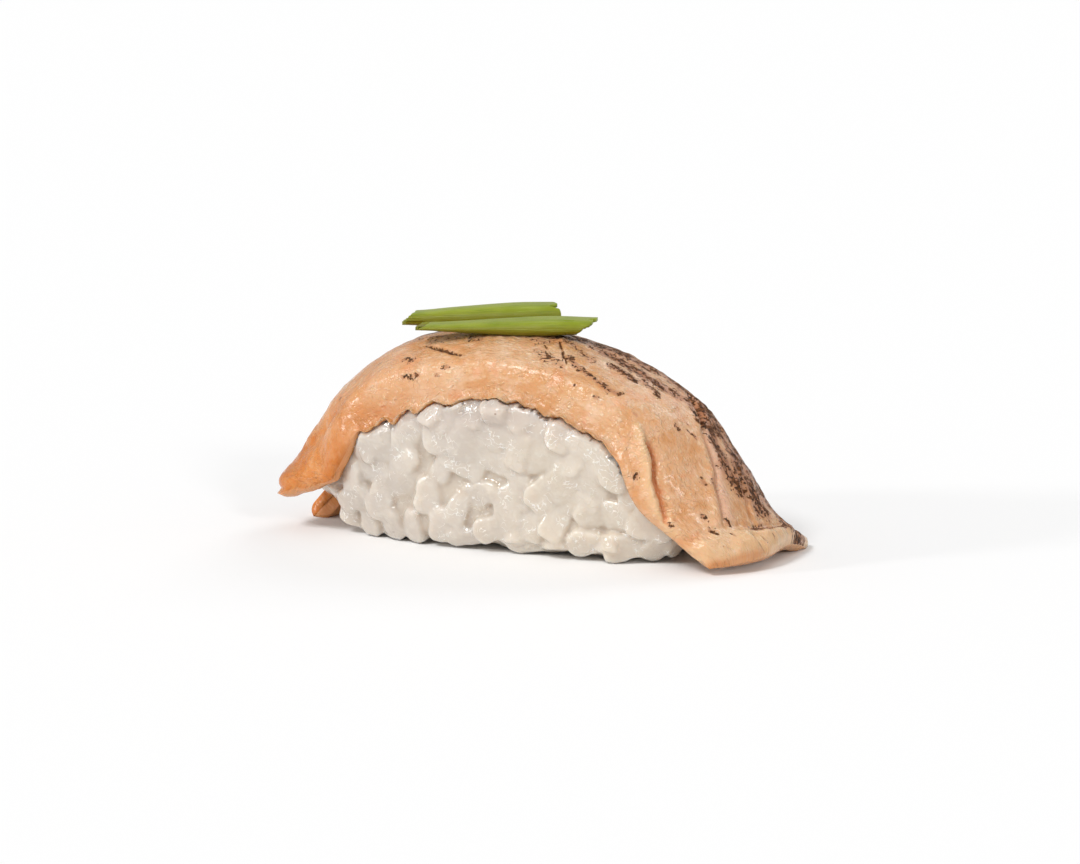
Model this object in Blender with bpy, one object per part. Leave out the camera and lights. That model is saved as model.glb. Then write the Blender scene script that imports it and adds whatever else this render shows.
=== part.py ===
# Salmon tataki nigiri: a hand-pressed block of vinegared rice, a seared salmon slice draped over it
# like an arch, and two flattened, bias-cut lengths of spring onion lying side by side on the crown.
# Units are metres, +Z is up, +X is the end where the slice spreads on the table, and -Y is the side
# whose rice shows most. The block's flat foot lies at z = 0, under the middle of the whole thing.

import bisect
import math
import random

import bpy
import bmesh
from mathutils import Vector, noise
from mathutils.bvhtree import BVHTree

# Gap kept between neighbouring solids
GAP = 0.0004
# Step used to find which way a surface faces, and the line of sight and step that tell inside from outside
NUDGE = 0.0008
SIGHT = Vector((0.36, -0.48, 0.80))
SIGHT_STEP = 1e-6

# Rice block
RICE_LENGTH = 0.0588
RICE_WIDTH = 0.0230
RICE_HEIGHT = 0.0266
RICE_CENTRE_X = -0.0008
RICE_CORNER = 2.35
RICE_SIDES = 44
RICE_LEVELS = 12
RICE_SHOULDER = 3.6
RICE_BELLY_Z = 0.0080
RICE_FOOT_TUCK = 0.15
RICE_FLAT_SHARE = 0.60
RICE_TOE_LIFT = 0.0026
RICE_TOE = (-0.0180, -0.0270)
RICE_RAY_HEIGHT = 0.0105
RICE_RAY_REACH = 0.0175
RICE_EASING = 0.03
RICE_EASING_ROUNDS = 40
FLAT_FOOT = 1e-6

# Cooked grains that show on the block
GRAIN_LENGTHS = (0.0074, 0.0052)
GRAIN_WIDTH_SHARE = 0.55
GRAIN_HEIGHT_SHARE = 0.46
GRAIN_COUNT = 160
GRAIN_SPACING = 0.0032
GRAIN_TILT = 0.35
GRAIN_BLUNTNESS = 1.16
GRAIN_TAPER = 0.20
# Share of full length and depth in the block, tried in turn where a grain would cross the slice
GRAIN_FALLBACKS = ((1.0, 0.0003), (1.0, 0.0009), (0.85, 0.0011), (0.7, 0.0013))
GRAIN_SIDES = 5
GRAIN_RINGS = 4
GRAIN_FLOOR = 0.00015
GRAIN_MARGIN = 0.0009
GRAIN_TRIES = 160
GRAIN_SEED = 41

# Salmon slice: a crown line is the slice's outer face seen from the side, from its left end to its hem.
# The left end is split: its near lobe flares out in the air, and its far lobe reaches down to the table.
NEAR_CROWN = (
    (-0.0366, 0.0063),
    (-0.0346, 0.0094),
    (-0.0328, 0.0128),
    (-0.0300, 0.0170),
    (-0.0246, 0.0231),
    (-0.0155, 0.0285),
    (-0.0040, 0.0303),
    (0.0070, 0.0296),
    (0.0175, 0.0261),
    (0.0267, 0.0205),
    (0.0327, 0.0126),
    (0.0371, 0.0058),
    (0.0416, 0.0030),
)
FAR_TAIL = (
    (-0.0366, 0.0014),
    (-0.0342, 0.0043),
    (-0.0320, 0.0085),
    (-0.0297, 0.0147),
    (-0.0243, 0.0223),
)
FAR_JOINS_AT = 5
SLICE_ROWS = 50
SLICE_COLUMNS = 20
SLICE_END_RADIUS = 0.0020
# Each of these runs from the slice's left end to its hem
SLICE_HALF_WIDTHS = (0.0100, 0.0118, 0.0134, 0.0138, 0.0138, 0.0136, 0.0130, 0.0120)
SLICE_THICKNESSES = (0.0036, 0.0048, 0.0060, 0.0062, 0.0060, 0.0056, 0.0050, 0.0034)
NEAR_DROOPS = (0.0002, 0.0038, 0.0064, 0.0062, 0.0050, 0.0042, 0.0072, 0.0022)
FAR_DROOPS = (0.0020, 0.0050, 0.0070, 0.0078, 0.0080, 0.0076, 0.0074, 0.0026)
DROOP_POWER = 2.6
EDGE_THINNING = 0.32

# The left end's near lobe is longer on its inner face than on its outer one, and shorter towards the notch
END_CUT = 0.0012
END_CUT_REACH = 0.16
LOBE_SLANT = 0.0030
# The notch between the left end's two lobes, and how far the far lobe's toe turns towards the near side
NOTCH_PLACE = 0.40
NOTCH_FLOOR = 0.05
NOTCH_FLANK = 0.14
NOTCH_DEPTH = 0.0150
TOE_SKEW = 0.0050
TOE_REACH = 0.0120
LOBE_CORNER = 0.0022
# The hem's near corner stops short of its far corner, both are rounded, and the hem is wavy
HEM_SLANT = 0.0026
HEM_CORNERS = {"near": 0.0016, "far": 0.0008}
HEM_WAVE = 0.0004
HEM_WAVE_TURNS = 4.4

# Long furrows between the muscle layers: place across the slice, where they start and stop along it, depth
FURROWS = (
    (-0.76, 0.70, 0.96, 0.0011),
    (-0.02, 0.72, 0.99, 0.0009),
    (0.40, 0.78, 0.97, 0.0009),
    (0.62, 0.30, 0.70, 0.0006),
)
FURROW_WIDTH = 0.075
FURROW_FADE = 0.05
FURROW_WANDER = 0.04
FURROW_WANDER_TURNS = 22.0
SURFACE_WAVE = 0.00035
SURFACE_WAVE_LENGTH = 0.0085

# Spring onion: where each leaf starts and ends on the crown, how steeply it rises, and its own unevenness
ONION_WIDTH = 0.0056
ONION_HEIGHT = 0.0031
ONION_TAPER = 0.74
ONION_WALL = 0.0007
ONION_SIDES = 16
ONION_STEPS = 9
ONION_CREASE = 0.16
ONION_CREASE_WIDTH = 0.5
ONION_WOBBLE = 0.05
ONION_BIAS = 0.0040
ONION_LEAN = 0.0012
ONION_DROP_FROM = 0.0350
ONION_DROP_STEP = 0.0001
FRONT_ONION = {"start": (-0.0110, -0.0078), "end": (0.0096, 0.0004), "rise": -0.0001, "roll": 0.20, "seed": 3}
BACK_ONION = {"start": (-0.0162, -0.0012), "end": (0.0014, 0.0064), "rise": 0.0006, "roll": 0.04, "seed": 8}


def clear_scene():
    for thing in list(bpy.data.objects):
        bpy.data.objects.remove(thing, do_unlink=True)


def make_material(name, colour, roughness):
    material = bpy.data.materials.new(name)
    material.use_nodes = True
    shader = material.node_tree.nodes["Principled BSDF"]
    shader.inputs["Base Color"].default_value = (*colour, 1.0)
    shader.inputs["Roughness"].default_value = roughness
    shader.inputs["Metallic"].default_value = 0.0
    return material


def make_object(name, vertices, triangles, material):
    mesh = bpy.data.meshes.new(name)
    mesh.from_pydata([tuple(point) for point in vertices], [], triangles)
    mesh.update()
    thing = bpy.data.objects.new(name, mesh)
    bpy.context.scene.collection.objects.link(thing)
    if material:
        mesh.materials.append(material)
    return thing


def smooth_step(low, high, value):
    share = min(1.0, max(0.0, (value - low) / (high - low)))
    return share * share * (3.0 - 2.0 * share)


def curve_at(points, share):
    """A smooth curve through evenly spaced points, read at a share of its length from 0 to 1."""
    last = len(points) - 1
    place = min(max(share, 0.0), 1.0) * last
    index = min(int(place), last - 1)
    step = place - index
    before = points[max(index - 1, 0)]
    start = points[index]
    end = points[index + 1]
    after = points[min(index + 2, last)]
    return 0.5 * (
        2.0 * start
        + (end - before) * step
        + (2.0 * before - 5.0 * start + 4.0 * end - after) * step**2
        + (3.0 * start - before - 3.0 * end + after) * step**3
    )


class CrownLine:
    """A crown line, read by true distance from the hem, and drawn on straight past both ends."""

    def __init__(self, points, samples=400):
        corners = [Vector((x, 0.0, z)) for x, z in reversed(points)]
        self.points = [curve_at(corners, step / samples) for step in range(samples + 1)]
        self.runs = [0.0]
        for first, second in zip(self.points, self.points[1:]):
            self.runs.append(self.runs[-1] + (second - first).length)
        self.length = self.runs[-1]

    def point(self, run):
        index = min(max(bisect.bisect_right(self.runs, run) - 1, 0), len(self.runs) - 2)
        step = (run - self.runs[index]) / (self.runs[index + 1] - self.runs[index])
        return self.points[index].lerp(self.points[index + 1], step)

    def outward(self, run):
        along = self.point(run - NUDGE) - self.point(run + NUDGE)
        return Vector((-along.z, 0.0, along.x)).normalized()


def end_rounding(distance, radius):
    """A share of full thickness that rounds an edge off like a half circle."""
    if distance >= radius:
        return 1.0
    inward = 1.0 - max(distance, 0.0) / radius
    return math.sqrt(max(0.0, 1.0 - inward * inward))


class SalmonSlice:
    """The slice's two faces, read at a distance from the hem and a place across from -1 (near) to 1 (far)."""

    def __init__(self):
        self.near = CrownLine(NEAR_CROWN)
        self.far = CrownLine(FAR_TAIL + NEAR_CROWN[FAR_JOINS_AT:])

    def near_share(self, across):
        return 1.0 - smooth_step(NOTCH_PLACE - NOTCH_FLOOR, NOTCH_PLACE + NOTCH_FLOOR, across)

    def left_run(self, across):
        """How far from the hem the left end's edge lies: two lobes with a notch between them."""
        near = self.near_share(across)
        aside = abs(across - NOTCH_PLACE)
        notch = NOTCH_DEPTH * (1.0 - smooth_step(NOTCH_FLOOR, NOTCH_FLOOR + NOTCH_FLANK, aside))
        corner = LOBE_CORNER * abs(across) ** 6 + LOBE_SLANT * near * smooth_step(-1.0, NOTCH_PLACE, across)
        return self.near.length * near + self.far.length * (1.0 - near) - notch - corner

    def hem_run(self, across):
        corner = HEM_CORNERS["far" if across > 0.0 else "near"] * abs(across) ** 3
        slant = HEM_SLANT * (1.0 - across) / 2.0
        wave = HEM_WAVE * math.sin(HEM_WAVE_TURNS * across)
        return slant + corner + wave

    def share(self, run):
        return 1.0 - run / self.far.length

    def middle(self, run, across):
        """A point on the slice's middle surface."""
        share = self.share(run)
        near = self.near_share(across)
        droops = NEAR_DROOPS if across < 0.0 else FAR_DROOPS
        droop = curve_at(droops, share) * abs(across) ** DROOP_POWER
        inward = curve_at(SLICE_THICKNESSES, share) / 2.0 + droop
        crown = self.near.point(run) * near + self.far.point(run) * (1.0 - near)
        outward = (self.near.outward(run) * near + self.far.outward(run) * (1.0 - near)).normalized()
        skew = TOE_SKEW * (1.0 - near) * smooth_step(self.far.length - TOE_REACH, self.far.length, run)
        sideways = curve_at(SLICE_HALF_WIDTHS, share) * across - skew
        return crown - outward * inward + Vector((0.0, sideways, 0.0))

    def outward(self, run, across):
        aside = NUDGE / SLICE_HALF_WIDTHS[-1]
        along = self.middle(run - NUDGE, across) - self.middle(run + NUDGE, across)
        side = self.middle(run, across + aside) - self.middle(run, across - aside)
        return along.cross(side).normalized()

    def relief(self, share, across, point):
        """How far the outer face stands above or below the plain one."""
        height = SURFACE_WAVE * noise.noise(point / SURFACE_WAVE_LENGTH)
        for place, start, stop, depth in FURROWS:
            fade_in = smooth_step(start, start + FURROW_FADE, share)
            fade_out = 1.0 - smooth_step(stop - FURROW_FADE, stop, share)
            wander = FURROW_WANDER * math.sin(FURROW_WANDER_TURNS * share + place)
            aside = (across - place - wander) / FURROW_WIDTH
            height -= depth * fade_in * fade_out * math.exp(-aside * aside)
        return height

    def faces_at(self, along, across):
        """The outer and inner points at a share of the way from the left end's edge to the hem's."""
        left = self.left_run(across)
        hem = self.hem_run(across)
        run = left + (hem - left) * along
        share = self.share(run)
        middle = self.middle(run, across)
        outward = self.outward(run, across)
        thickness = curve_at(SLICE_THICKNESSES, share) * (1.0 - EDGE_THINNING * abs(across) ** 3)
        to_side = (1.0 - abs(across)) * curve_at(SLICE_HALF_WIDTHS, share)
        to_end = min(left - run, run - hem)
        rounding = end_rounding(to_side, thickness / 2.0) * end_rounding(to_end, SLICE_END_RADIUS)
        half = thickness / 2.0 * rounding
        outer = middle + outward * (half + self.relief(share, across, middle) * rounding)
        past = END_CUT * self.near_share(across) * (1.0 - smooth_step(0.0, END_CUT_REACH, along))
        inner = self.middle(run + past, across) - outward * half
        for point in (outer, inner):
            point.z = max(point.z, 0.0)
        return outer, inner


def slice_rows():
    """Shares along the slice, closer together where its ends are rounded off."""
    close = (0.0, 0.003, 0.009, 0.018)
    rows = list(close)
    count = SLICE_ROWS - 2 * len(close)
    for step in range(count + 1):
        rows.append(0.030 + 0.940 * step / count)
    rows.extend(1.0 - share for share in reversed(close))
    return rows


def sewn_sheet(outer_rows, inner_rows):
    """Vertices and triangles of a closed sheet from its two faces, which share their rims."""
    last_row = len(outer_rows) - 1
    last_column = len(outer_rows[0]) - 1
    vertices = []
    outer_index = {}
    inner_index = {}
    for row in range(last_row + 1):
        for column in range(last_column + 1):
            outer_index[row, column] = len(vertices)
            on_rim = row in (0, last_row) or column in (0, last_column)
            if on_rim:
                inner_index[row, column] = len(vertices)
                vertices.append((outer_rows[row][column] + inner_rows[row][column]) / 2.0)
                continue
            vertices.append(outer_rows[row][column])
            inner_index[row, column] = len(vertices)
            vertices.append(inner_rows[row][column])
    triangles = []
    for row in range(last_row):
        for column in range(last_column):
            for index, outside in ((outer_index, True), (inner_index, False)):
                a = index[row, column]
                b = index[row + 1, column]
                c = index[row + 1, column + 1]
                d = index[row, column + 1]
                pair = ((a, b, c), (a, c, d)) if outside else ((a, c, b), (a, d, c))
                triangles.extend(pair)
    return vertices, triangles


def make_salmon(material):
    sheet = SalmonSlice()
    rows = slice_rows()
    columns = []
    for step in range(SLICE_COLUMNS + 1):
        even = 2.0 * step / SLICE_COLUMNS - 1.0
        columns.append(0.6 * even + 0.4 * math.sin(math.pi / 2.0 * even))
    outer_rows = []
    inner_rows = []
    for along in rows:
        pairs = [sheet.faces_at(along, across) for across in columns]
        outer_rows.append([outer for outer, inner in pairs])
        inner_rows.append([inner for outer, inner in pairs])
    vertices, triangles = sewn_sheet(outer_rows, inner_rows)
    salmon = make_object("salmon_slice", vertices, triangles, material)
    salmon.data.shade_smooth()
    return salmon


def tree_of(thing):
    mesh = thing.data
    points = [vertex.co.copy() for vertex in mesh.vertices]
    return BVHTree.FromPolygons(points, [tuple(face.vertices) for face in mesh.polygons])


def clearance(tree, point):
    """Distance from a point to a closed mesh, less than nothing inside it."""
    distance = tree.find_nearest(point)[3]
    crossings = 0
    seen = tree.ray_cast(point, SIGHT)[0]
    while seen is not None:
        crossings += 1
        seen = tree.ray_cast(seen + SIGHT * SIGHT_STEP, SIGHT)[0]
    return -distance if crossings % 2 else distance


def rice_section(height):
    """The block's half length and half width at a height: tucked in at the foot and rounded at the top."""
    if height < RICE_BELLY_Z:
        foot = 1.0 - height / RICE_BELLY_Z
        share = 1.0 - RICE_FOOT_TUCK * foot * foot
    else:
        up = (height - RICE_BELLY_Z) / (RICE_HEIGHT - RICE_BELLY_Z)
        share = max(0.0, 1.0 - up**RICE_SHOULDER) ** (1.0 / RICE_CORNER)
    return RICE_LENGTH / 2.0 * share, RICE_WIDTH / 2.0 * share


def middle_under(point):
    """The place on the block's own middle line from which a point of its surface is reached."""
    reach = max(-RICE_RAY_REACH, min(RICE_RAY_REACH, point.x - RICE_CENTRE_X))
    return Vector((RICE_CENTRE_X + reach, 0.0, min(point.z, RICE_RAY_HEIGHT)))


def make_rice_core(salmon_tree, material):
    """The bare block: a rounded oblong, held down to a gap under the slice wherever the slice covers it."""
    around = RICE_SIDES
    levels = [RICE_HEIGHT * math.sin(math.pi / 2.0 * level / RICE_LEVELS) for level in range(RICE_LEVELS)]
    vertices = [Vector((RICE_CENTRE_X, 0.0, 0.0))]
    for height, inset in [(0.0, RICE_FLAT_SHARE)] + [(level, 1.0) for level in levels]:
        half_length, half_width = (size * inset for size in rice_section(height))
        for step in range(around):
            turn = 2.0 * math.pi * step / around
            x = half_length * math.copysign(abs(math.cos(turn)) ** (2.0 / RICE_CORNER), math.cos(turn))
            y = half_width * math.copysign(abs(math.sin(turn)) ** (2.0 / RICE_CORNER), math.sin(turn))
            vertices.append(Vector((RICE_CENTRE_X + x, y, height)))
    vertices.append(Vector((RICE_CENTRE_X, 0.0, RICE_HEIGHT)))
    triangles = []
    for step in range(around):
        following = (step + 1) % around
        triangles.append((0, 1 + following, 1 + step))
        for level in range(len(levels)):
            low = 1 + level * around
            high = low + around
            triangles.append((low + step, low + following, high + following))
            triangles.append((low + step, high + following, high + step))
        top = 1 + len(levels) * around
        triangles.append((top + step, top + following, len(vertices) - 1))
    for point in vertices:
        toe = smooth_step(-RICE_TOE[0], -RICE_TOE[1], -point.x)
        point.z += RICE_TOE_LIFT * toe * (1.0 - smooth_step(0.0, RICE_BELLY_Z, point.z))
    middles = [middle_under(point) for point in vertices]
    for index, point in enumerate(vertices):
        if point.z < FLAT_FOOT:
            continue
        ray = point - middles[index]
        hit, _, _, distance = salmon_tree.ray_cast(middles[index], ray.normalized())
        if hit is not None and distance - 2.0 * GAP < ray.length:
            vertices[index] = middles[index] + ray.normalized() * (distance - 2.0 * GAP)
    for _ in range(RICE_EASING_ROUNDS):
        crowded = set()
        for corners in triangles:
            a, b, c = (vertices[index] for index in corners)
            tests = (a, b, c, (a + b + c) / 3.0, (a + b) / 2.0, (b + c) / 2.0, (c + a) / 2.0)
            if min(clearance(salmon_tree, point) for point in tests) < 1.5 * GAP:
                crowded.update(index for index in corners if vertices[index].z > FLAT_FOOT)
        for index in crowded:
            vertices[index] = vertices[index].lerp(middles[index], RICE_EASING)
        if not crowded:
            break
    return make_object("rice_block", vertices, triangles, material)


def grain_template():
    """One cooked short grain of unit length: a plump oval, blunt at both ends and narrower at one."""
    shape = bmesh.new()
    bmesh.ops.create_uvsphere(shape, u_segments=GRAIN_SIDES, v_segments=GRAIN_RINGS, radius=0.5)
    for vertex in shape.verts:
        across, up, along = vertex.co
        pole = abs(along) > 0.45
        full = (1.0 if pole else GRAIN_BLUNTNESS) * (1.0 - GRAIN_TAPER * max(0.0, along))
        vertex.co = Vector((along, across * GRAIN_WIDTH_SHARE * full, up * GRAIN_HEIGHT_SHARE * full))
    bmesh.ops.recalc_face_normals(shape, faces=shape.faces)
    bmesh.ops.triangulate(shape, faces=shape.faces)
    vertices = [vertex.co.copy() for vertex in shape.verts]
    triangles = [tuple(vertex.index for vertex in face.verts) for face in shape.faces]
    shape.free()
    return vertices, triangles


def placed_grain(template, centre, normal, turn, tilt, length):
    """The grain's corners with its length laid along the block's surface."""
    side = normal.orthogonal().normalized()
    along = (side * math.cos(turn) + normal.cross(side) * math.sin(turn)).normalized()
    along = (along + normal * tilt).normalized()
    across = normal.cross(along).normalized()
    up = along.cross(across)
    return [centre + (along * p.x + across * p.y + up * p.z) * length for p in template]


def fits(corners, salmon_tree):
    return all(clearance(salmon_tree, point) > GAP for point in corners)


def grains_on(core, salmon_tree):
    """Grains over the part of the block that shows: the longest first, evenly apart, clear of the slice."""
    template, triangles = grain_template()
    draw = random.Random(GRAIN_SEED)
    faces = [face for face in core.data.polygons if face.normal.z > -0.6]
    areas = [face.area for face in faces]
    corners_of = [[core.data.vertices[index].co for index in face.vertices] for face in faces]
    longest, shortest = GRAIN_LENGTHS
    lengths = sorted((draw.uniform(shortest, longest) for _ in range(GRAIN_COUNT)), reverse=True)
    placed = []
    for length in lengths:
        for _ in range(GRAIN_TRIES):
            pick = draw.choices(range(len(faces)), weights=areas)[0]
            a, b, c = corners_of[pick]
            first, second = sorted((draw.random(), draw.random()))
            spot = a * first + b * (second - first) + c * (1.0 - second)
            normal = faces[pick].normal.copy()
            turn = draw.uniform(0.0, math.pi)
            tilt = draw.uniform(-GRAIN_TILT, GRAIN_TILT)
            if any((spot - other).length < GRAIN_SPACING for other, _ in placed):
                continue
            if clearance(salmon_tree, spot) < GRAIN_MARGIN:
                continue
            corners = None
            for shrink, sink in GRAIN_FALLBACKS:
                centre = spot - normal * sink
                trial = placed_grain(template, centre, normal, turn, tilt, length * shrink)
                if fits(trial, salmon_tree):
                    corners = trial
                    break
            if corners is None:
                continue
            for point in corners:
                point.z = max(point.z, GRAIN_FLOOR)
            placed.append((spot, corners))
            break
    return [corners for _, corners in placed], triangles


def keep_largest_shell(mesh):
    """Drops loose scraps and sealed hollows, which are the smaller shells that a union leaves."""
    shape = bmesh.new()
    shape.from_mesh(mesh)
    waiting = set(shape.faces)
    shells = []
    while waiting:
        front = [waiting.pop()]
        shell = list(front)
        while front:
            for edge in front.pop().edges:
                for face in edge.link_faces:
                    if face in waiting:
                        waiting.remove(face)
                        front.append(face)
                        shell.append(face)
        shells.append(shell)
    largest = max(shells, key=lambda shell: sum(face.calc_area() for face in shell))
    scraps = [face for shell in shells if shell is not largest for face in shell]
    bmesh.ops.delete(shape, geom=scraps, context="FACES")
    bmesh.ops.triangulate(shape, faces=shape.faces)
    shape.to_mesh(mesh)
    shape.free()


def fuse_grains(core, grain_corners, triangles):
    """One Boolean union of all the grains with the block, applied, with the grains' own objects removed."""
    heap = bpy.data.collections.new("grains")
    bpy.context.scene.collection.children.link(heap)
    for number, corners in enumerate(grain_corners):
        grain = make_object("grain_%03d" % number, corners, triangles, None)
        bpy.context.scene.collection.objects.unlink(grain)
        heap.objects.link(grain)
    union = core.modifiers.new("grains fused on", "BOOLEAN")
    union.operation = "UNION"
    union.operand_type = "COLLECTION"
    union.collection = heap
    union.solver = "EXACT"
    graph = bpy.context.evaluated_depsgraph_get()
    fused = bpy.data.meshes.new_from_object(core.evaluated_get(graph))
    core.modifiers.clear()
    core.data = fused
    for grain in list(heap.objects):
        bpy.data.objects.remove(grain, do_unlink=True)
    bpy.data.collections.remove(heap)
    keep_largest_shell(core.data)


def make_rice(salmon, material):
    salmon_tree = tree_of(salmon)
    core = make_rice_core(salmon_tree, material)
    grain_corners, triangles = grains_on(core, salmon_tree)
    fuse_grains(core, grain_corners, triangles)
    return core


def onion_ring(share, radius_y, radius_z, seed):
    """One ring round a pressed-flat hollow leaf: an uneven oval with a shallow crease along its top."""
    ring = []
    for step in range(ONION_SIDES):
        turn = 2.0 * math.pi * step / ONION_SIDES
        crease = 1.0 - ONION_CREASE * math.exp(-(((turn - math.pi / 2.0) / ONION_CREASE_WIDTH) ** 2))
        wobble = 1.0 + ONION_WOBBLE * math.sin(2.0 * math.pi * share + 2.0 * turn + seed)
        ring.append(Vector((0.0, radius_y * math.cos(turn), radius_z * math.sin(turn) * crease * wobble)))
    return ring


def make_onion(name, plan, salmon_tree, neighbour_tree, material):
    """A hollow, flattened leaf cut on the bias at both ends, let down on to the crown of the slice."""
    start = Vector((*plan["start"], ONION_DROP_FROM))
    end = Vector((*plan["end"], ONION_DROP_FROM + plan["rise"]))
    along = (end - start).normalized()
    side = Vector((-along.y, along.x, 0.0)).normalized()
    rows = []
    for wall in (0.0, ONION_WALL):
        for step in range(ONION_STEPS + 1):
            share = step / ONION_STEPS
            width = ONION_WIDTH / 2.0 * (ONION_TAPER + (1.0 - ONION_TAPER) * share) - wall
            height = ONION_HEIGHT / 2.0 * (ONION_TAPER + (1.0 - ONION_TAPER) * share) - wall
            ring = []
            for point in onion_ring(share, width, height, plan["seed"]):
                bias = ONION_BIAS * point.y / ONION_WIDTH + ONION_LEAN * point.z / ONION_HEIGHT
                lengthwise = (end - start).length * share + bias
                rolled = side * math.cos(plan["roll"]) + Vector((0.0, 0.0, math.sin(plan["roll"])))
                ring.append(start + along * lengthwise + rolled * point.y + along.cross(rolled) * point.z)
            rows.append(ring)
    last = ONION_STEPS
    order = list(range(last + 1)) + list(range(2 * last + 1, last, -1))
    vertices = [point for ring in rows for point in ring]
    triangles = []
    for first, second in zip(order, order[1:] + order[:1]):
        for step in range(ONION_SIDES):
            following = (step + 1) % ONION_SIDES
            a = first * ONION_SIDES + step
            b = first * ONION_SIDES + following
            c = second * ONION_SIDES + following
            d = second * ONION_SIDES + step
            triangles.append((a, b, c))
            triangles.append((a, c, d))
    drop = Vector((0.0, 0.0, ONION_DROP_STEP))
    trees = [tree for tree in (salmon_tree, neighbour_tree) if tree]
    while all(tree.find_nearest(point - drop)[3] > GAP for tree in trees for point in vertices):
        vertices = [point - drop for point in vertices]
    onion = make_object(name, vertices, triangles, material)
    onion.data.shade_smooth()
    return onion


def stand_on_origin(things):
    """Moves everything so that the middle of the foot of its box is the origin."""
    points = [vertex.co for thing in things for vertex in thing.data.vertices]
    low = Vector([min(point[axis] for point in points) for axis in range(3)])
    high = Vector([max(point[axis] for point in points) for axis in range(3)])
    shift = Vector(((low.x + high.x) / 2.0, (low.y + high.y) / 2.0, low.z))
    for thing in things:
        for vertex in thing.data.vertices:
            vertex.co = vertex.co - shift


def main():
    clear_scene()
    salmon = make_salmon(make_material("seared_salmon", (0.72, 0.40, 0.22), 0.35))
    rice = make_rice(salmon, make_material("cooked_rice", (0.74, 0.69, 0.61), 0.30))
    green = make_material("spring_onion", (0.25, 0.33, 0.05), 0.35)
    salmon_tree = tree_of(salmon)
    front = make_onion("scallion_front", FRONT_ONION, salmon_tree, None, green)
    back = make_onion("scallion_back", BACK_ONION, salmon_tree, tree_of(front), green)
    stand_on_origin([salmon, rice, front, back])


main()
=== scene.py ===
# Salmon tataki nigiri: the finish of a pressed block of rice, the seared slice draped over it and the two
# lengths of spring onion on top. Everything is in metres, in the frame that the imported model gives.

import math
import random

import bpy
import numpy as np
from mathutils import Matrix, Vector, noise
from mathutils.bvhtree import BVHTree


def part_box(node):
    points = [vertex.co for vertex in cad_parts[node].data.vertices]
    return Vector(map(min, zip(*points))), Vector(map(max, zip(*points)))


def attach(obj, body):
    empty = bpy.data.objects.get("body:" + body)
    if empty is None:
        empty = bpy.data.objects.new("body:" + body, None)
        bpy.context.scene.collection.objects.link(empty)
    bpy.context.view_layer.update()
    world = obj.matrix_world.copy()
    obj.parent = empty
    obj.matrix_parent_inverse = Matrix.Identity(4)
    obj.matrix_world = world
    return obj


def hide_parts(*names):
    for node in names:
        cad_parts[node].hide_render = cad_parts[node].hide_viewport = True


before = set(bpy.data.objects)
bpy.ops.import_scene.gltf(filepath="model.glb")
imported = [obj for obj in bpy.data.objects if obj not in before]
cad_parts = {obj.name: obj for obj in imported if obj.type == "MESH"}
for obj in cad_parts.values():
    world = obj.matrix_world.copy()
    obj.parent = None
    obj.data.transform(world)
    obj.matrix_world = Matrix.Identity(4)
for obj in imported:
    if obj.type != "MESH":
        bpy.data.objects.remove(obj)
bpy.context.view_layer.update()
mm = 0.001
print("frame loaded")


# Helpers for working as by hand

def deselectAll():
    if bpy.context.mode != "OBJECT":
        bpy.ops.object.mode_set(mode="OBJECT")
    bpy.ops.object.select_all(action="DESELECT")


def pick(piece):
    deselectAll()
    piece.select_set(True)
    bpy.context.view_layer.objects.active = piece


def startEdit():
    bpy.ops.object.mode_set(mode="EDIT")
    bpy.ops.mesh.select_all(action="SELECT")


def endEdit():
    bpy.ops.object.mode_set(mode="OBJECT")


def applyModifier(piece, kind, **settings):
    pick(piece)
    modifier = piece.modifiers.new(kind.title(), kind)
    for setting, value in settings.items():
        setattr(modifier, setting, value)
    bpy.ops.object.modifier_apply(modifier=modifier.name)


def placesOf(piece):
    places = np.empty(len(piece.data.vertices) * 3, np.float32)
    piece.data.vertices.foreach_get("co", places)
    return places.reshape(-1, 3).astype(float)


def setPlaces(piece, places):
    piece.data.vertices.foreach_set("co", places.astype(np.float32).ravel())
    piece.data.update()


def keepMask(piece, name, values):
    mask = piece.data.attributes.new(name, "FLOAT", "POINT")
    mask.data.foreach_set("value", np.clip(values, 0.0, 1.0).astype(np.float32))


def joinInto(first, others):
    pick(first)
    for other in others:
        other.select_set(True)
    bpy.ops.object.join()


def treeOf(piece):
    corners = [vertex.co.copy() for vertex in piece.data.vertices]
    return BVHTree.FromPolygons(corners, [tuple(face.vertices) for face in piece.data.polygons])


def triangleCount(piece):
    piece.data.calc_loop_triangles()
    return len(piece.data.loop_triangles)


def finishPiece(piece, node):
    pick(piece)
    bpy.ops.object.shade_smooth()
    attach(piece, "root")
    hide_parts(node)
    print(f"{piece.name}: {triangleCount(piece)} triangles")


def smoothStep(low, high, value):
    share = np.clip((value - low) / (high - low), 0.0, 1.0)
    return share * share * (3.0 - 2.0 * share)


def curveAt(points, share):
    # A smooth curve through evenly spaced points, read at shares of its length
    points = np.asarray(points, float)
    last = len(points) - 1
    place = np.clip(share, 0.0, 1.0) * last
    index = np.minimum(place.astype(int), last - 1)
    step = place - index
    if points.ndim > 1:
        step = step[:, None]
    before = points[np.maximum(index - 1, 0)]
    start = points[index]
    end = points[index + 1]
    after = points[np.minimum(index + 2, last)]
    return 0.5 * (
        2.0 * start
        + (end - before) * step
        + (2.0 * before - 5.0 * start + 4.0 * end - after) * step**2
        + (3.0 * start - before - 3.0 * end + after) * step**3
    )


def noiseAt(places, size, seed=0.0):
    # Soft noise of about -1 to 1, with lumps of the given size
    shift = Vector((seed * 7.13, seed * 3.71, seed * 5.39))
    return np.array([noise.noise(Vector(place) / size + shift) for place in places])


def unit(vectors):
    return vectors / np.maximum(np.linalg.norm(vectors, axis=1), 1e-12)[:, None]


# Helpers for shaders

work = {}  # the node tree that they add to


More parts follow.
